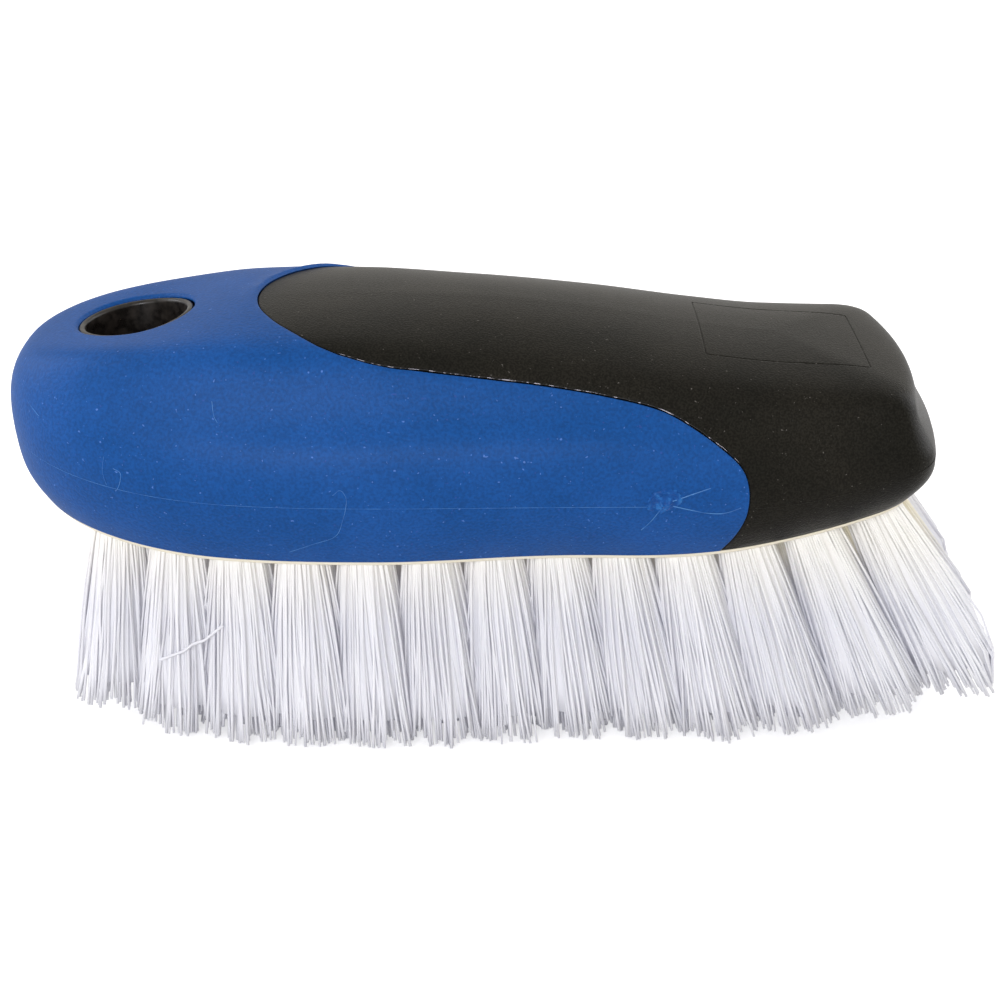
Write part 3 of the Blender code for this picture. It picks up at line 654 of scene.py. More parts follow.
# Flash where the two mouldings meet along the crown: how far along the brush and how low it
# runs, its radius, the share of it left at both ends, and how its thickness and line waver
FLASH_START_X = -0.021
FLASH_END_X = 0.0425
FLASH_LOWEST = HANDLE_HEIGHT / 6
FLASH_RADIUS = 0.00008
FLASH_END_SHARE = 0.4
FLASH_THICK_SHARES = (0.5, 1.2)
FLASH_WAVER = 0.00004
FLASH_SIDES = 5

flash_mesh = bmesh.new()
dice = random.Random(1)
for side in (-1, 1):
    run = [p for p in crown_edge if p.y * side > 0 and p.z > DATUM.z + FLASH_LOWEST
           and FLASH_START_X < p.x - DATUM.x < FLASH_END_X]
    run.sort(key=lambda place: place.x)
    run = [a for a, b in zip(run, run[1:]) if (b - a).length > FLASH_RADIUS]
    middle = len(run) / 2
    radii = [FLASH_RADIUS * min(1, 1 + FLASH_END_SHARE - abs(k / middle - 1))
             * dice.uniform(*FLASH_THICK_SHARES) for k in range(len(run))]
    run = [p + Vector([dice.uniform(-FLASH_WAVER, FLASH_WAVER) for _ in p]) for p in run]
    add_tube(flash_mesh, run, radii, FLASH_SIDES)
# The flash is drawn near black with painted pale grey highlights
finish_piece("crown_edge_flash", flash_mesh, flash_painted_highlight(), crease=60)

# The parting line, where the mould's halves met: a hair-fine ridge at the widest level.  The
# rings of the form that it is taken from start with the lip and the sole.
LINE_RADIUS = 0.00008
LINE_PROUD = 0.00001
LINE_SIDES = 6
RINGS_UNDER_RIM = 2

outer_rings = form_rings(0, SKIN_LIP)
seam_ring = outer_rings[RINGS_UNDER_RIM + (PARTING - RIM) * RINGS_PER_LEVEL]
seam_near = [Vector(p) for p in seam_ring]
seam_far = [Vector((p.x, -p.y, p.z)) for p in seam_near]


def line_piece(name, paths, radius, finish):
    """Hair-fine ridges along paths over the surface."""
    mesh = bmesh.new()
    for path in paths:
        add_tube(mesh, [p + DATUM for p in path], [radius] * len(path), LINE_SIDES)
    return finish_piece(name, mesh, finish, crease=60)


def drawn_in(points, depth):
    """Points of the parting line moved in towards the middle of the handle."""
    return [p - Vector((p.x - spine_x(p.x), p.y, 0)).normalized() * depth for p in points]


around_nose = seam_near[:-1] + seam_far[::-1]
bare = grip_side(np.array(around_nose)) < 0
black_run = [p for p, is_bare in zip(around_nose, bare) if is_bare]
line_piece("core_parting_line", [drawn_in(black_run, CROWN_SINK + LINE_RADIUS - LINE_PROUD)],
           LINE_RADIUS, black)


# Hang hole liner.  A tube of the black core that comes up through the grip at the tail; its
# rounded lip stands just under the blue surface and its bore is left glossy by the core pin.

HOLE_FROM_TAIL = 0.0212
HOLE_X = HOLE_FROM_TAIL - HALF_LENGTH
HOLE_RADIUS = 0.0084
LINER_WALL = 0.0012
LINER_SINK = 0.0004
LINER_STEPS = 96
LINER_LIP_STEPS = 8
LINER_WEAR_DEPTH = 0.0001

outer_form = loft(outer_rings, FORM_WELD)
outer_tree = BVHTree.FromBMesh(outer_form)
outer_form.free()


def top_over(x, y):
    """Height over the datum of the handle's top at a place in plan."""
    above = Vector((x, y, 2 * HANDLE_HEIGHT)) + DATUM
    return outer_tree.ray_cast(above, Vector((0, 0, -1)))[0].z - DATUM.z


def glossy_black():
    """Core pin finish: the same black, glossy, mottled with dusty brown patches that are less
    glossy.
    """
    made, tree, shader, place = new_material("black_polypropylene_polished",
                                             {"Specular IOR Level": 0.35})
    patch_noise = add(tree, "ShaderNodeTexNoise", {"Scale": per_mm(1.6), "Detail": 4}, {"Vector": place})
    tone = add(tree, "ShaderNodeValToRGB", {"stops": ((0.42, "#120f0d"), (0.66, "#26211d"))},
               {"Fac": patch_noise.outputs["Fac"]})
    tree.links.new(tone.outputs["Color"], shader.inputs["Base Color"])
    rough = add(tree, "ShaderNodeMapRange", {"From Min": 0.3, "From Max": 0.7, "To Min": 0.24,
                                             "To Max": 0.42}, {"Value": patch_noise.outputs["Fac"]})
    tree.links.new(rough.outputs["Result"], shader.inputs["Roughness"])
    bump = add(tree, "ShaderNodeBump", {"Strength": 0.25, "Distance": LINER_WEAR_DEPTH},
               {"Height": patch_noise.outputs["Fac"]})
    tree.links.new(bump.outputs["Normal"], shader.inputs["Normal"])
    return made


liner_mesh = bmesh.new()
liner_loops = []
half_wall = LINER_WALL / 2
middle_radius = HOLE_RADIUS + half_wall
for k in range(LINER_STEPS):
    turn = 2 * math.pi * k / LINER_STEPS
    top = top_over(HOLE_X + middle_radius * math.cos(turn), middle_radius * math.sin(turn))
    profile = [(half_wall, 0)]
    for j in range(LINER_LIP_STEPS + 1):
        roll = math.pi * j / LINER_LIP_STEPS
        profile.append((half_wall * math.cos(roll),
                        top - LINER_SINK - half_wall * (1 - math.sin(roll))))
    profile.append((-half_wall, 0))
    loop = []
    for across, height in profile:
        radius = middle_radius + across
        loop.append(liner_mesh.verts.new(DATUM + Vector((HOLE_X + radius * math.cos(turn),
                                                         radius * math.sin(turn), height))))
    liner_loops.append(loop)
join_loops(liner_mesh, liner_loops + liner_loops[:1])
bmesh.ops.recalc_face_normals(liner_mesh, faces=liner_mesh.faces)
finish_piece("hole_liner", liner_mesh, glossy_black(), crease=50)


# Blue grip.  Soft thermoplastic rubber moulded over the core in a second shot: it wraps the
# tail and both sides, ends in a rolled edge round the crown and leaves a faint parting line.

GRIP_GAP = 0.00006
GRIP_WALL = 0.0012
GRIP_EDGE = 0.00022
GRIP_HOLE_EDGE = 0.0007
RUBBER_GRAIN_DEPTH = 0.00011

# The small lip that the rubber raises round the crown's tip: its height, how far from the
# edge and how wide it is, how it grows from the near to the far side, and where it fades out
LIP_RISE = 0.00042
LIP_REACH = 0.0007
LIP_WIDTH = 0.0006
LIP_MIDDLE_SHARE = 0.6
LIP_TURN = 0.006
LIP_START_X = -0.013
LIP_END_X = 0.006


def blue_soft_rubber():
    """Matt moulded rubber: fine orange-peel grain, a little chalky, with pale and dark specks.
    The grain is drawn at 0.5 mm, coarser than the real one."""
    made, tree, shader, place = new_material(
        "blue_soft_rubber_moulded", {"Roughness": 0.5, "IOR": 1.5, "Specular IOR Level": 0.16})
    cloud = add(tree, "ShaderNodeTexNoise", {"Scale": per_mm(16), "Detail": 5, "Roughness": 0.6},
                {"Vector": place})
    tone = add(tree, "ShaderNodeValToRGB", {"stops": ((0.34, "#084b91"), (0.66, "#14529c"))},
               {"Fac": cloud.outputs["Fac"]})
    grain = add(tree, "ShaderNodeTexNoise", {"Scale": per_mm(0.5), "Detail": 2},
                {"Vector": place})
    mottle = add(tree, "ShaderNodeValToRGB", {"stops": ((0.35, "#e2e2e2"), (0.65, "#ffffff"))},
                 {"Fac": grain.outputs["Fac"]})
    grained = add(tree, "ShaderNodeMix", {"data_type": 'RGBA', "blend_type": 'MULTIPLY', 0: 1.0},
                  {6: tone.outputs["Color"], 7: mottle.outputs["Color"]})
    speck = add(tree, "ShaderNodeTexNoise", {"Scale": per_mm(0.65), "Detail": 1},
                {"Vector": place})
    marks = add(tree, "ShaderNodeValToRGB", {"stops": ((0.235, "#2a1038"), (0.275, "#000000"),
                                                       (0.735, "#000000"), (0.78, "#5d74a8"))},
                {"Fac": speck.outputs["Fac"]})
    colour = add(tree, "ShaderNodeMix", {"data_type": 'RGBA', "blend_type": 'ADD', 0: 0.6},
                 {6: grained.outputs[2], 7: marks.outputs["Color"]})
    tree.links.new(colour.outputs[2], shader.inputs["Base Color"])
    bump = add(tree, "ShaderNodeBump", {"Strength": 0.6, "Distance": RUBBER_GRAIN_DEPTH},
               {"Height": grain.outputs["Fac"]})
    tree.links.new(bump.outputs["Normal"], shader.inputs["Normal"])
    return made


def crown_lip(place, distance):
    """The small raised lip round the crown's tip, proudest on the far side, which fades out
    towards the nose."""
    fade = min(max((LIP_END_X - place.x) / (LIP_END_X - LIP_START_X), 0), 1)
    fade *= LIP_MIDDLE_SHARE + (1 - LIP_MIDDLE_SHARE) * math.tanh(place.y / LIP_TURN)
    return LIP_RISE * fade * math.exp(-((distance - LIP_REACH) / LIP_WIDTH) ** 2)


blue = blue_soft_rubber()
grip_mesh = loft(outer_rings, FORM_WELD)
side_of = set_field(grip_mesh, "edge", grip_side(places_of(grip_mesh)) - GRIP_GAP)
keep_side(grip_mesh, side_of, 1)
edge_distance(grip_mesh, side_of, EDGE_REACH)
roll_edge(grip_mesh, side_of, GRIP_EDGE, crown_lip)


def off_hole(points):
    """Distance in plan from the edge of the hole in the grip."""
    away = np.linalg.norm(points[:, :2] - (HOLE_X, 0), axis=1)
    away -= HOLE_RADIUS + LINER_WALL + GRIP_GAP
    away[points[:, 2] < HANDLE_HEIGHT / 2] = FAR_OFF
    return away


hole_of = set_field(grip_mesh, "hole", off_hole(places_of(grip_mesh)))
keep_side(grip_mesh, hole_of, 1)
edge_distance(grip_mesh, hole_of, EDGE_REACH)
roll_edge(grip_mesh, hole_of, GRIP_HOLE_EDGE)
grip_skin = finish_piece("grip_skin", grip_mesh, blue, crease=50,
                         node="grip_overmould")
thicken(grip_skin, GRIP_WALL)

# Gate scar on the near side, where the rubber was injected and the stub torn off: a rough
# lump under a curled ridge.  Its middle in side view, its size, and how finely it is drawn.
SCAR_X = 0.0304
SCAR_Z = 0.0120
SCAR_REACH = 0.0046
SCAR_RINGS = 30
SCAR_STEPS = 80
SCAR_SINK = 0.00012
SCAR_WALL = 4 * SCAR_SINK

# The lump, and the ridge that curls over it.  Round the lump the ridge lies at this turn in
# radians, runs this far either way and sinks at this rate, and untorn it has this share of its
# height.
LUMP_RADIUS = 0.0014
LUMP_HEIGHT = 0.00042
CURL_RADIUS = 0.0024
CURL_WIDTH = 0.00036
CURL_HEIGHT = 0.00050
CURL_TURN = 1.7
CURL_SPAN = 2.2
CURL_RATE = 0.7
CURL_SHARE = 0.8

# How torn the scar is: two sizes of tears, and their shares in the relief
TEAR_SIZE = 0.0010
TEAR_HEIGHT = 0.00028
FINE_TEAR_RATE = 2.3
FINE_TEAR_SHARE = 0.5
TORN_SHARE = 0.6
TORN_CURL_SHARE = 0.25


def on_side(x, z):
    """Point and normal of the near side at a place in side view."""
    start = Vector((x, -2 * HALF_WIDTH, z)) + DATUM
    place, normal = outer_tree.ray_cast(start, Vector((0, 1, 0)))[:2]
    return place - DATUM, -normal if normal.y > 0 else normal


def torn_blue():
    """The same rubber where the stub tore off: mottled pale and dark, with a wet gleam."""
    made, tree, shader, place = new_material(
        "blue_soft_rubber_torn", {"Roughness": 0.4, "Specular IOR Level": 0.2})
    tears = add(tree, "ShaderNodeTexNoise", {"Scale": per_mm(1.0), "Detail": 6},
                {"Vector": place})
    tone = add(tree, "ShaderNodeValToRGB",
               {"stops": ((0.36, "#0b4488"), (0.52, "#0c4e98"), (0.74, "#2c74bb"))},
               {"Fac": tears.outputs["Fac"]})
    tree.links.new(tone.outputs["Color"], shader.inputs["Base Color"])
    return made


def scar_rise(place, away, turn):
    """Height of the scar over the skin at a distance and a direction from its middle."""
    tear = noise.noise(place / TEAR_SIZE)
    tear += FINE_TEAR_SHARE * noise.noise(place * FINE_TEAR_RATE / TEAR_SIZE)
    curl = 0
    if abs(turn - CURL_TURN) < CURL_SPAN:
        curl = math.sqrt(max(0, math.cos((turn - CURL_TURN) * CURL_RATE)))
    off_ridge = away - CURL_RADIUS * (1 + TORN_CURL_SHARE * tear)
    ridge = curl * math.exp(-(off_ridge / CURL_WIDTH) ** 2)
    rise = LUMP_HEIGHT * math.exp(-(away / LUMP_RADIUS) ** 2) * (1 + TORN_SHARE * tear)
    rise += CURL_HEIGHT * ridge * (CURL_SHARE + TORN_SHARE * tear)
    return rise + TEAR_HEIGHT * max(0, tear) * math.exp(-(away / CURL_RADIUS) ** 4)


scar_mesh = bmesh.new()
scar_loops = []
for k in range(SCAR_RINGS, 0, -1):
    away = SCAR_REACH * k / SCAR_RINGS
    loop = []
    for j in range(SCAR_STEPS):
        turn = 2 * math.pi * j / SCAR_STEPS
        place, normal = on_side(SCAR_X + away * math.cos(turn), SCAR_Z + away * math.sin(turn))
        proud = scar_rise(place, away, turn) - SCAR_SINK
        loop.append(scar_mesh.verts.new(place + DATUM + normal * proud))
    scar_loops.append(loop)
join_loops(scar_mesh, scar_loops)
scar_mesh.faces.new(scar_loops[-1])
scar_mesh.normal_update()
scar = finish_piece("gate_scar", scar_mesh, torn_blue(), crease=60)
thicken(scar, SCAR_WALL)

# The parting line goes on round the tail in the rubber, as far as the scar.  From there one
# crease carries it on and two more branch off, each through these places in side view.
CREASE_PLACES = (
    ((0.0304, 0.0120), (0.0345, 0.0108), (0.0375, 0.0101), (0.0400, 0.0101), (0.0428, 0.0112)),
    ((0.0312, 0.0124), (0.0350, 0.0139), (0.0378, 0.0149)),
    ((0.0298, 0.0110), (0.0283, 0.0084), (0.0268, 0.0064)),
)

# Scuffs on the near side: faint pale scratches across the parting line
SCUFF_RADIUS = 0.000045
SCUFF_PLACES = (
    ((-0.0579, 0.0179), (-0.0583, 0.0152), (-0.0578, 0.0127)),
    ((-0.0564, 0.0162), (-0.0554, 0.0158), (-0.0552, 0.0151), (-0.0556, 0.0135),
     (-0.0563, 0.0121)),
    ((-0.0214, 0.0142), (-0.0203, 0.0151), (-0.0196, 0.0145), (-0.0193, 0.0130),
     (-0.0200, 0.0097), (-0.0214, 0.0062), (-0.0252, 0.0043), (-0.0296, 0.0021)),
    ((-0.0402, 0.0274), (-0.0399, 0.0255), (-0.0392, 0.0243)),
    ((-0.0717, 0.0234), (-0.0690, 0.0216)),
)


def painted_highlight_and_scuff_rubber():
    """The same rubber, paler than the rest: on the parting line and the creases the pale tone is
    a painted highlight along the ridge, on the scuffs it is real rubbed wear.
    """
    made, tree, shader, place = new_material("blue_soft_rubber_painted_highlight_and_scuff", {"Roughness": 0.5})
    patch_noise = add(tree, "ShaderNodeTexNoise", {"Scale": per_mm(2.5), "Detail": 3}, {"Vector": place})
    # Pale tone: painted highlight on the parting line and creases, real wear on the scuffs
    tone = add(tree, "ShaderNodeValToRGB", {"stops": ((0.38, "#1b5ba2"), (0.62, "#4b86c4"))},
               {"Fac": patch_noise.outputs["Fac"]})
    tree.links.new(tone.outputs["Color"], shader.inputs["Base Color"])
    return made


def along_side(places):
    """Close points on the near side along a curve through places in side view."""
    knots = [np.array(place) for place in places]
    knots = [2 * knots[0] - knots[1]] + knots + [2 * knots[-1] - knots[-2]]
    path = []
    for before, start, end, after in zip(knots, knots[1:], knots[2:], knots[3:]):
        path += [between(before, start, end, after, k / LINE_STEPS) for k in range(LINE_STEPS)]
    return [on_side(x, z)[0] for x, z in path]


around_tail = seam_far[:0:-1] + seam_near
soft = grip_side(np.array(around_tail)) > GRIP_GAP
blue_run = [p for p, is_soft in zip(around_tail, soft) if is_soft and (p.y > 0 or p.x < SCAR_X)]
# Parting line and creases: pale blue as a painted highlight along the ridge; scuffs: pale blue as
# real wear
painted_highlight_and_scuff_blue = painted_highlight_and_scuff_rubber()
line_piece("grip_parting_line", [drawn_in(blue_run, LINE_RADIUS - LINE_PROUD)]
           + [along_side(places) for places in CREASE_PLACES], LINE_RADIUS, painted_highlight_and_scuff_blue)
line_piece("grip_scuffs", [along_side(places) for places in SCUFF_PLACES], SCUFF_RADIUS,
           painted_highlight_and_scuff_blue)


# Bristle block.  Injection-moulded ivory polypropylene, drilled for the tufts and screwed up
# into the handle; only its edge shows from the side, as a thin cream line.

# Flange and plug: insets from the sole's outline, heights over the underside, the bevel round
# the flange's lower edge, and how finely it is drawn, its upper face from just inside the plug
BLOCK_TOP = 0.0059
FLANGE_INSET = 0.0006
PLUG_INSET = 0.0016
FLANGE_TOP = 0.0003
BLOCK_EDGE_RUN = 0.0020
BLOCK_EDGE_RISE = 0.0008
BLOCK_EDGE_STEPS = 3
BLOCK_RINGS = 14
BLOCK_TOP_SHARE = 0.999
BLOCK_WELD = 0.00004

# Drills: for a tuft from just over its root, for a screw's head from below its top, and for
# the hang hole right through
TUFT_HOLE_RADIUS = 0.0039
TUFT_DRILL_OVER = 0.0003
TUFT_DRILL_UNDER = 0.012
TUFT_DRILL_SIDES = 24
RECESS_RADIUS = 0.0037
RECESS_DRILL_OVER = 0.0025
RECESS_DRILL_UNDER = 0.004
BORE_DRILL_OVER = 0.02
BORE_DRILL_UNDER = 0.006
BORE_SIDES = 48

IVORY_GRAIN_DEPTH = 0.00005
BLOCK_CREASE = 35

# A CAD tuft's root has seven points, and the points of its tip lie this near to the lowest.
# In use the bristles have set a little towards the nose: how far the tips lean that way, at
# places along the brush.
TUFT_SIDES = 7
TIP_BAND = 0.0003
LEAN_X = (-0.066, -0.050, 0.0, 0.045)
LEAN = (0.0036, 0.0018, 0.0020, 0.0)


def ivory_polypropylene():
    """Plain satin moulding, warm white."""
    made, tree, shader, place = new_material("ivory_polypropylene_moulded", {"Roughness": 0.45})
    cloud = add(tree, "ShaderNodeTexNoise", {"Scale": per_mm(9), "Detail": 3}, {"Vector": place})
    tone = add(tree, "ShaderNodeValToRGB", {"stops": ((0.3, "#ebe2ca"), (0.7, "#f1e9d6"))},
               {"Fac": cloud.outputs["Fac"]})
    tree.links.new(tone.outputs["Color"], shader.inputs["Base Color"])
    grain = add(tree, "ShaderNodeTexNoise", {"Scale": per_mm(0.8), "Detail": 2},
                {"Vector": place})
    bump = add(tree, "ShaderNodeBump", {"Strength": 0.2, "Distance": IVORY_GRAIN_DEPTH},
               {"Height": grain.outputs["Fac"]})
    tree.links.new(bump.outputs["Normal"], shader.inputs["Normal"])
    return made


def tuft_ends(node):
    """Root centre, in the block, and tip centre of a CAD tuft, in the row frame."""
    places = {tuple(round(c, 6) for c in v.co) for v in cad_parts[node].data.vertices}
    ranked = sorted(places, key=lambda place: place[2])
    tips = [Vector(p) for p in ranked if p[2] < ranked[0][2] + TIP_BAND]
    roots = [Vector(p) for p in ranked[-TUFT_SIDES:]]
    return sum(roots, Vector()) / len(roots), sum(tips, Vector()) / len(tips)


def plate_ring(inset, share, lift):
    """Half ring of a plate that follows the underside: an outline drawn in to a share of it."""
    ring = []
    for x, y in half_outline(SOLE, inset):
        inner_x = spine_x(x) + (x - spine_x(x)) * share
        ring.append((inner_x, y * share, underside(inner_x) + lift))
    return ring


def block_rings():
    """Half rings of the block: its lower face, bevel, flange and plug, and its upper face."""
    rings = [plate_ring(FLANGE_INSET + BLOCK_EDGE_RUN, k / BLOCK_RINGS, -BLOCK_DROP)
             for k in range(BLOCK_RINGS + 1)]
    for step in range(1, BLOCK_EDGE_STEPS + 1):
        turn = math.pi / 2 * step / BLOCK_EDGE_STEPS
        rings.append(plate_ring(FLANGE_INSET + BLOCK_EDGE_RUN * (1 - math.sin(turn)), 1,
                                -BLOCK_DROP + BLOCK_EDGE_RISE * (1 - math.cos(turn))))
    rings.append(plate_ring(FLANGE_INSET, 1, -FLANGE_TOP))
    rings.append(plate_ring(PLUG_INSET, 1, -FLANGE_TOP))
    rings.append(plate_ring(PLUG_INSET, 1, BLOCK_TOP))
    rings += [plate_ring(PLUG_INSET, k / BLOCK_RINGS * BLOCK_TOP_SHARE, BLOCK_TOP)
              for k in range(BLOCK_RINGS, -1, -1)]
    return rings


def add_drill(mesh, start, end, radius, sides):
    """Adds a closed round cutter from start to end."""
    axis = end - start
    turn = Vector((0, 0, 1)).rotation_difference(axis.normalized()).to_matrix().to_4x4()
    place = Matrix.Translation((start + end) / 2) @ turn
    bmesh.ops.create_cone(mesh, cap_ends=True, segments=sides, radius1=radius, radius2=radius,
                          depth=axis.length, matrix=place)


def cut_by(piece, mesh, crease):
    """Cuts a piece by the cutters in a bmesh, keeps the result as its mesh and shades it."""
    data = bpy.data.meshes.new("cutters")
    mesh.to_mesh(data)
    mesh.free()
    tool = bpy.data.objects.new("cutters", data)
    bpy.context.scene.collection.objects.link(tool)
    step = piece.modifiers.new("holes", 'BOOLEAN')
    step.operation = 'DIFFERENCE'
    step.solver = 'MANIFOLD'
    step.object = tool
    bpy.context.view_layer.update()
    shown = piece.evaluated_get(bpy.context.evaluated_depsgraph_get())
    result = bpy.data.meshes.new_from_object(shown)
    piece.modifiers.clear()
    piece.data = result
    bpy.data.objects.remove(tool, do_unlink=True)
    smooth(result, crease)


tuft_nodes = sorted(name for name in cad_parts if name.startswith("tuft_"))
tuft_axes = {name: tuft_ends(name) for name in tuft_nodes}
for root, tip in tuft_axes.values():
    tip.x += float(np.interp(root.x - DATUM.x, LEAN_X, LEAN))
screw_nodes = sorted(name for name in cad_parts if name.startswith("screw_"))

block = finish_piece("block_dressed", loft(block_rings(), BLOCK_WELD), ivory_polypropylene(),
                     BLOCK_CREASE, "bristle_block")
drills = bmesh.new()
for root, tip in tuft_axes.values():
    down = (tip - root).normalized()
    add_drill(drills, root - down * TUFT_DRILL_OVER, root + down * TUFT_DRILL_UNDER,
              TUFT_HOLE_RADIUS, TUFT_DRILL_SIDES)
for node in screw_nodes:
    low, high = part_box(node)
    middle_x = (low.x + high.x) / 2
    add_drill(drills, Vector((middle_x, 0, low.z - RECESS_DRILL_UNDER)),
              Vector((middle_x, 0, low.z + RECESS_DRILL_OVER)), RECESS_RADIUS, BORE_SIDES)
add_drill(drills, DATUM + Vector((HOLE_X, 0, -BORE_DRILL_UNDER)),
          DATUM + Vector((HOLE_X, 0, BORE_DRILL_OVER)), HOLE_RADIUS, BORE_SIDES)
cut_by(block, drills, BLOCK_CREASE)


# Screws.  Three zinc-plated pan heads with a cross recess, driven up from below in the line
# between the tufts; they hold the block to the core's bosses.

# A pan head: its flat face and the height of its round as shares of its radius and height
HEAD_RADIUS = 0.0034
HEAD_HEIGHT = 0.0022
HEAD_FACE_SHARE = 0.62
HEAD_ROUND_SHARE = 0.45
HEAD_STEPS = 6
SHANK_RADIUS = 0.0016
THREAD_PITCH = 0.0014
THREAD_DEPTH = 0.00025
SCREW_SECTIONS = 40
SCREW_WELD = 0.00001
SCREW_CREASE = 35

# The cross recess: it narrows upwards, and is left turned as the screw was driven
CROSS_WIDTH = 0.0008
CROSS_SPAN = 0.0040
CROSS_DEPTH = 0.0013
CROSS_TAPER_SHARE = 0.45
CROSS_TURN = 0.4


def zinc_plated_steel():
    """Bright zinc: cool grey metal, slightly clouded."""
    made, tree, shader, place = new_material("zinc_plated_steel", {"Metallic": 1})
    cloud = add(tree, "ShaderNodeTexNoise", {"Scale": per_mm(1.2), "Detail": 3},
                {"Vector": place})
    tone = add(tree, "ShaderNodeValToRGB", {"stops": ((0.35, "#b9bab8"), (0.65, "#cfcfcb"))},
               {"Fac": cloud.outputs["Fac"]})
    tree.links.new(tone.outputs["Color"], shader.inputs["Base Color"])
    rough = add(tree, "ShaderNodeMapRange", {"To Min": 0.22, "To Max": 0.42},
                {"Value": cloud.outputs["Fac"]})
    tree.links.new(rough.outputs["Result"], shader.inputs["Roughness"])
    return made


zinc = zinc_plated_steel()
for node in screw_nodes:
    low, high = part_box(node)
    axis_x = (low.x + high.x) / 2
    head_top = low.z + HEAD_HEIGHT
    profile = [(0, low.z)]
    for k in range(HEAD_STEPS + 1):
        turn = math.pi / 2 * k / HEAD_STEPS
        wide = HEAD_FACE_SHARE + (1 - HEAD_FACE_SHARE) * math.sin(turn)
        rise = HEAD_ROUND_SHARE * (1 - math.cos(turn))
        profile.append((HEAD_RADIUS * wide, low.z + HEAD_HEIGHT * rise))
    profile += [(HEAD_RADIUS, head_top), (SHANK_RADIUS, head_top)]
    z = head_top + THREAD_PITCH
    while z + THREAD_PITCH < high.z - SHANK_RADIUS:
        profile += [(SHANK_RADIUS, z), (SHANK_RADIUS - THREAD_DEPTH, z + THREAD_PITCH / 3),
                    (SHANK_RADIUS - THREAD_DEPTH, z + THREAD_PITCH * 2 / 3)]
        z += THREAD_PITCH
    profile += [(SHANK_RADIUS, z), (0, high.z)]
    mesh = bmesh.new()
    points = [mesh.verts.new((axis_x + radius, 0, height)) for radius, height in profile]
    edges = [mesh.edges.new(pair) for pair in zip(points, points[1:])]
    bmesh.ops.spin(mesh, geom=points + edges, cent=(axis_x, 0, 0), axis=(0, 0, 1),
                   angle=2 * math.pi, steps=SCREW_SECTIONS, use_merge=True)
    bmesh.ops.remove_doubles(mesh, verts=mesh.verts, dist=SCREW_WELD)
    bmesh.ops.recalc_face_normals(mesh, faces=mesh.faces)
    screw = finish_piece(node + "_dressed", mesh, zinc, SCREW_CREASE, node)
    cross = bmesh.new()
    for turn in (0, math.pi / 2):
        for vertex in bmesh.ops.create_cube(cross, size=1)["verts"]:
            taper = 1 if vertex.co.z < 0 else CROSS_TAPER_SHARE
            spot = Vector((vertex.co.x * CROSS_SPAN * taper, vertex.co.y * CROSS_WIDTH * taper,
                           vertex.co.z * CROSS_DEPTH * 2))
            vertex.co = (Matrix.Rotation(turn + CROSS_TURN, 3, 'Z') @ spot
                         + Vector((axis_x, 0, low.z)))
    cut_by(screw, cross, SCREW_CREASE)


# Bristles.  White nylon filaments, folded in two and stapled into the block's holes; each
# tuft leaves its hole round and tight, fans out and mixes with its neighbours, and the ends
# were trimmed after tufting, flat amidships and rising to both ends.

# A filament: its radius and how that varies, how finely it is drawn, and a direction that
# none of them follows
FILAMENT_RADIUS = 0.00026
FILAMENT_RADIUS_SHARES = (0.8, 1.1)
FILAMENT_SIDES = 4
FILAMENT_SEGMENTS = 7
FILAMENT_LEVEL = (0, 1, 0.1)

# A tuft: the share of its filaments that stand all round it, how far out those and the ones
# that fill it stand, its radius at the root and at the tips, and how it widens between them
FILAMENTS = 230
HULL_SHARE = 0.62
HULL_PLACE_SHARES = (0.94, 1.01)
FILL_PLACE_SHARE = 0.95
TURN_JITTER = 0.1
ROOT_RADIUS = 0.0038
TIP_SPREAD = 0.0076
FAN_POWER = 1.12

# How unlike each other the filaments are: in spread, arch, lean aside, wave and length, how
# they stick together in clumps that end short and stand out, and how far strays stand out
SPREAD_JITTER = 0.00035
BOW = 0.0004
SWAY = 0.0008
WAVE = 0.0002
RAGGED = 0.0007
CLUMP_SIZE = 0.0024
CLUMP_START = 0.05
CLUMP_SHORT = 0.0062
CLUMP_OUT = 0.10
STRAY_SHARE = 0.05
STRAY_OUT = 4 * SPREAD_JITTER
BOX_MARGIN = 0.0002

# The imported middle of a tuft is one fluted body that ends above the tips
BODY_SHARE = 0.96
BODY_SIDES = 60
BODY_FLUTE_SHARE = 0.016
BODY_SHORT = 0.0048

# How far down from the sole the filaments get a painted warm bounce colour and a stronger painted
# glow
PAINTED_LIGHT_REACH = 0.012


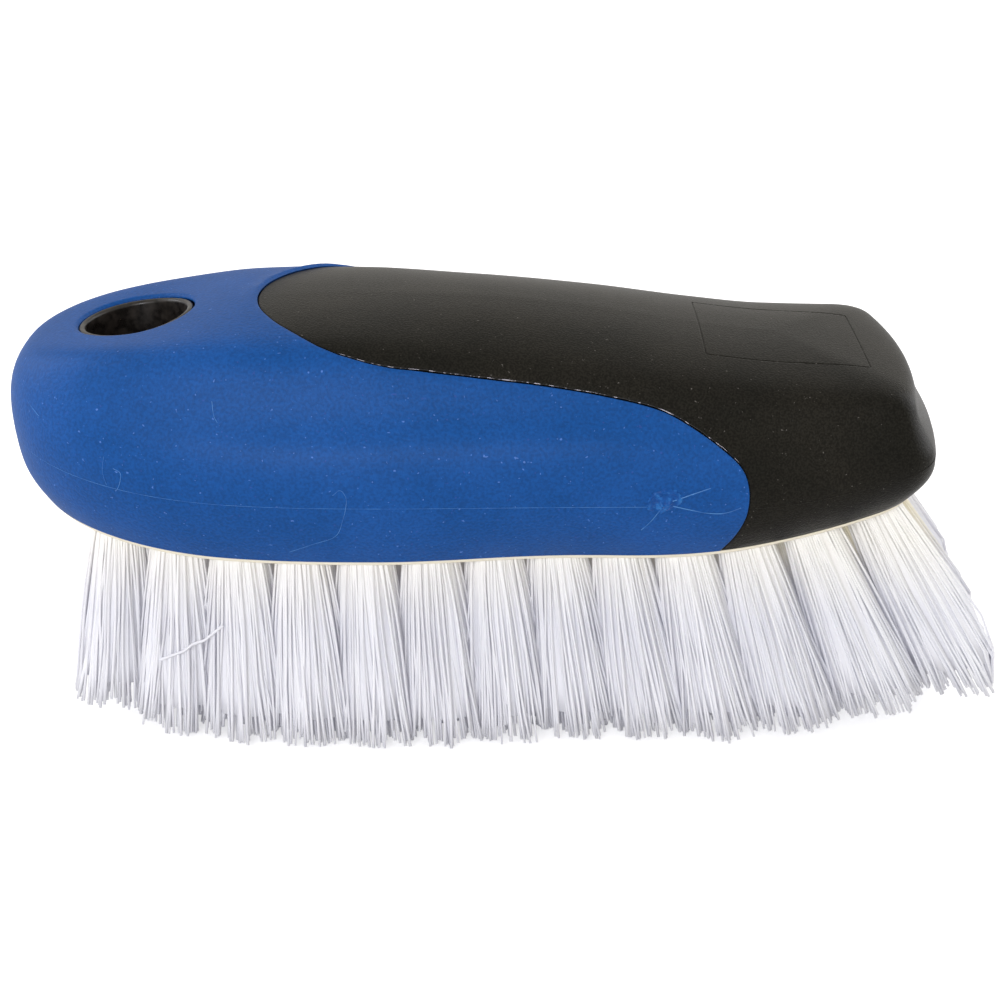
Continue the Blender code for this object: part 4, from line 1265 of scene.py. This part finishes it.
def white_nylon_painted_glow(name, painted_root_warmth, glow):
    """Extruded nylon: white, a little cool, each filament with a soft gloss.  It carries light
    down its length, so it is never black: a painted glow stands for that, faint all along and
    stronger and warm at the root, where the colour is also painted warmer for light bounced off
    the ivory block."""
    made, tree, shader, place = new_material(name, {
        "Roughness": 0.38, "IOR": 1.53, "Specular IOR Level": 0.4, "Emission Strength": 1})
    made.cycles.emission_sampling = 'NONE'
    random_tone = tree.nodes.new("ShaderNodeNewGeometry").outputs["Random Per Island"]
    tone = add(tree, "ShaderNodeValToRGB", {"stops": ((0.0, "#e0e0e5"), (0.5, "#e8e8ec"),
                                                      (1.0, "#f0f0f3"))}, {"Fac": random_tone})
    height = add(tree, "ShaderNodeSeparateXYZ", links={"Vector": place})
    near_root = add(tree, "ShaderNodeMapRange", {"From Min": DATUM.z - PAINTED_LIGHT_REACH,
                                                 "From Max": DATUM.z},
                    {"Value": height.outputs["Z"]})
    # Towards the root the colour is mixed to a warm tone: painted bounce light from the ivory
    # block
    colour = add(tree, "ShaderNodeMix", {"data_type": 'RGBA', 7: linear(painted_root_warmth)},
                 {0: near_root.outputs["Result"], 6: tone.outputs["Color"]})
    tree.links.new(colour.outputs[2], shader.inputs["Base Color"])
    # Painted glow: faint emission all along, stronger at the root, standing for light the nylon
    # carries
    painted_glow = add(tree, "ShaderNodeValToRGB", {"stops": ((0.2, "#38383e"), (1.0, glow))},
                  {"Fac": near_root.outputs["Result"]})
    tree.links.new(painted_glow.outputs["Color"], shader.inputs["Emission Color"])
    return made


tip_profile = sorted((tip.x, tip.z) for _, tip in tuft_axes.values())
profile_x = [x for x, _ in tip_profile]
profile_z = [z for _, z in tip_profile]


def trim_height(x):
    """Height at which the tufts are trimmed, at a place along the brush."""
    return float(np.interp(x, profile_x, profile_z))


def clump(place):
    """Slow change over a tuft, by which its filaments stick together in clumps."""
    return noise.noise(Vector((place.x, place.y, 0)) / CLUMP_SIZE)


def tip_height(place, dice):
    """Height at which a filament ends: trimmed, less what its clump is short of that."""
    height = trim_height(place.x) + BOX_MARGIN + abs(dice.gauss(0, RAGGED))
    return height + CLUMP_SHORT * max(0, clump(place) - CLUMP_START)


def keep_in_box(place):
    """Holds a point of a filament inside the CAD model's box."""
    room = FILAMENT_RADIUS_SHARES[1] * FILAMENT_RADIUS + BOX_MARGIN
    place.x = min(place.x, cad_high.x - room)
    place.y = min(max(place.y, cad_low.y + room), cad_high.y - room)
    place.z = max(place.z, room)
    return place


def add_body(mesh, root, tip, turn, dice):
    """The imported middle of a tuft."""
    down = (tip - root).normalized()
    reach = (tip - root).length
    flutes = [1 + dice.uniform(-BODY_FLUTE_SHARE, BODY_FLUTE_SHARE) for _ in range(BODY_SIDES)]
    loops = []
    for j in range(FILAMENT_SEGMENTS + 1):
        along = j / FILAMENT_SEGMENTS * (1 - BODY_SHORT / reach)
        radius = ROOT_RADIUS + (TIP_SPREAD - ROOT_RADIUS) * along ** FAN_POWER
        loop = []
        for k, flute in enumerate(flutes):
            angle = 2 * math.pi * k / BODY_SIDES
            out = turn @ Vector((math.cos(angle), math.sin(angle), 0))
            flute *= 1 + CLUMP_OUT * clump(tip + out * TIP_SPREAD) * along
            place = root + down * (reach * along) + out * (radius * BODY_SHARE * flute)
            if j == FILAMENT_SEGMENTS:
                end_height = trim_height(place.x) + BODY_SHORT
                place += down * ((place.z - end_height) / -down.z)
            loop.append(mesh.verts.new(keep_in_box(place)))
        loops.append(loop)
    close_loops(mesh, loops)


def tuft_mesh(root, tip, dice):
    """One tuft: filaments packed in the hole that fan out and end at the trimmed height.  Each
    is turned on from the last by the golden angle, which spreads them evenly."""
    mesh = bmesh.new()
    down = (tip - root).normalized()
    turn = Vector((0, 0, -1)).rotation_difference(down)
    reach = (tip - root).length
    for k in range(FILAMENTS):
        share = dice.uniform(*HULL_PLACE_SHARES)
        if k > HULL_SHARE * FILAMENTS:
            share = FILL_PLACE_SHARE * math.sqrt(dice.random())
        angle = k * math.pi * (3 - math.sqrt(5)) + dice.uniform(-TURN_JITTER, TURN_JITTER)
        out = turn @ Vector((math.cos(angle), math.sin(angle), 0))
        aside = turn @ Vector((-math.sin(angle), math.cos(angle), 0))
        spread = TIP_SPREAD * share + dice.gauss(0, SPREAD_JITTER)
        spread *= 1 + CLUMP_OUT * clump(tip + out * TIP_SPREAD)
        if dice.random() < STRAY_SHARE:
            spread += dice.uniform(0, STRAY_OUT)
        bow = dice.gauss(0, BOW)
        sway = dice.gauss(0, SWAY)
        phase = dice.uniform(0, 2 * math.pi)
        end = root + down * reach + out * spread + aside * sway
        stretch = (root.z - tip_height(end, dice)) / (root.z - end.z)
        path = []
        for j in range(FILAMENT_SEGMENTS + 1):
            t = j / FILAMENT_SEGMENTS
            along = t * stretch
            fan = ROOT_RADIUS * share + (spread - ROOT_RADIUS * share) * along ** FAN_POWER
            arch = math.sin(math.pi * t) * bow
            wave = math.sin(phase + 2 * math.pi * t) * WAVE
            path.append(keep_in_box(root + down * (reach * along) + out * (fan + arch)
                                    + aside * (sway * along * along + wave)))
        radius = FILAMENT_RADIUS * dice.uniform(*FILAMENT_RADIUS_SHARES)
        add_tube(mesh, path, [radius] * len(path), FILAMENT_SIDES, dice.uniform(0, 1),
                 FILAMENT_LEVEL)
    add_body(mesh, root, tip, turn, dice)
    return mesh


# The inner rows, seen between the outer ones, get a warmer painted bounce colour and a stronger
# painted glow at the root
outer_nylon_painted_glow = white_nylon_painted_glow("white_nylon_filament", "#f6f4f0", "#3c3b3a")
inner_nylon_painted_bounce_and_glow = white_nylon_painted_glow("white_nylon_filament_inner", "#ece6d4", "#55524a")
for number, node in enumerate(tuft_nodes):
    root, tip = tuft_axes[node]
    hidden = "inner" in node or "centre" in node
    finish_piece(node.replace("tuft", "bristles"), tuft_mesh(root, tip, random.Random(number)),
                 inner_nylon_painted_bounce_and_glow if hidden else outer_nylon_painted_glow, crease=180, node=node)

# One loose filament, pulled out and caught across the near row: its places in side view
LOOSE_PLACES = ((-0.0514, -0.0182), (-0.0494, -0.0174), (-0.0474, -0.0166), (-0.0459, -0.0153),
                (-0.0439, -0.0146), (-0.0422, -0.0131), (-0.0407, -0.0118))
LOOSE_Y = -0.0258
LOOSE_RADIUS = 0.00024
LOOSE_SIDES = 6

loose_mesh = bmesh.new()
loose_path = [keep_in_box(Vector((x, LOOSE_Y, z)) + DATUM) for x, z in LOOSE_PLACES]
add_tube(loose_mesh, loose_path, [LOOSE_RADIUS] * len(loose_path), LOOSE_SIDES)
finish_piece("bristle_loose", loose_mesh, outer_nylon_painted_glow, crease=60)


# Studio.  A plain pale floor, soft daylight from all round, and three large soft lamps: one
# in front of the brush, one past its nose and one past its tail.

FLOOR_SIZE = 6.0
FLOOR_DROP = 0.0002
FLOOR_GLOW = 0.55
SKY_LIGHT = 0.6
SKY_SEEN = 0.95
LAMP_COLOUR = "#f6f8ff"

# Each lamp's name, place, size and power
LAMPS = (
    ("front", (-0.25, -0.95, 0.45), 0.4, 5.0),
    ("nose_side", (1.0, 0.4, 0.4), 1.1, 8.0),
    ("tail_side", (-0.9, 0.15, 0.5), 0.6, 4.0),
)

# The camera: the place it looks at, measured from the datum, and its focal length in pixels
# of a picture that is this many pixels wide
CAMERA_AIM = (0.0046, 0, -0.00085)
CAMERA_DISTANCE = 0.340
CAMERA_ELEVATION = math.radians(24)
FOCAL_PIXELS = 1961.8
PICTURE_PIXELS = 1000
SENSOR_MM = 36

floor_mesh = bpy.data.meshes.new("floor")
half = FLOOR_SIZE / 2
floor_mesh.from_pydata([(-half, -half, 0), (half, -half, 0), (half, half, 0), (-half, half, 0)],
                       [], [(0, 1, 2, 3)])
floor = bpy.data.objects.new("floor", floor_mesh)
floor.location.z = -FLOOR_DROP
bpy.context.scene.collection.objects.link(floor)
made, tree, shader, place = new_material("white_floor", {
    "Base Color": linear("#eeeeee"), "Roughness": 0.9, "Specular IOR Level": 0.1})
rays = tree.nodes.new("ShaderNodeLightPath").outputs
strength = add(tree, "ShaderNodeMath", {"operation": 'MULTIPLY', 1: FLOOR_GLOW},
               {0: rays["Is Camera Ray"]})
glow = add(tree, "ShaderNodeEmission", {"Color": (1, 1, 1, 1)},
           {"Strength": strength.outputs[0]})
both = add(tree, "ShaderNodeAddShader", links={0: shader.outputs[0], 1: glow.outputs[0]})
tree.links.new(both.outputs[0], tree.nodes["Material Output"].inputs["Surface"])
floor_mesh.materials.append(made)
floor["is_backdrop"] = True

world = bpy.data.worlds.new("daylight")
world.use_nodes = True
bpy.context.scene.world = world
tree = world.node_tree
sky = tree.nodes["Background"]
sky.inputs["Color"].default_value = linear("#fffbf4")
rays = tree.nodes.new("ShaderNodeLightPath").outputs
seen = add(tree, "ShaderNodeMath", {"operation": 'MAXIMUM'},
           {0: rays["Is Camera Ray"], 1: rays["Is Glossy Ray"]})
strength = add(tree, "ShaderNodeMapRange", {"To Min": SKY_LIGHT, "To Max": SKY_SEEN},
               {"Value": seen.outputs[0]})
tree.links.new(strength.outputs["Result"], sky.inputs["Strength"])

for name, place, size, power in LAMPS:
    light = bpy.data.lights.new(name, 'AREA')
    light.shape = 'SQUARE'
    light.size = size
    light.energy = power
    light.color = linear(LAMP_COLOUR)[:3]
    lamp = bpy.data.objects.new(name, light)
    lamp.location = place
    lamp.rotation_euler = (DATUM - Vector(place)).to_track_quat('-Z', 'Y').to_euler()
    bpy.context.scene.collection.objects.link(lamp)

view = bpy.data.cameras.new("camera")
view.sensor_width = SENSOR_MM
view.lens = SENSOR_MM * FOCAL_PIXELS / PICTURE_PIXELS
camera = bpy.data.objects.new("camera", view)
back = Vector((0, -math.cos(CAMERA_ELEVATION), math.sin(CAMERA_ELEVATION)))
camera.location = Vector(CAMERA_AIM) + DATUM + back * CAMERA_DISTANCE
camera.rotation_euler = (-back).to_track_quat('-Z', 'Y').to_euler()
bpy.context.scene.collection.objects.link(camera)
bpy.context.scene.camera = camera
bpy.context.scene.view_settings.view_transform = 'Standard'

low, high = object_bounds()
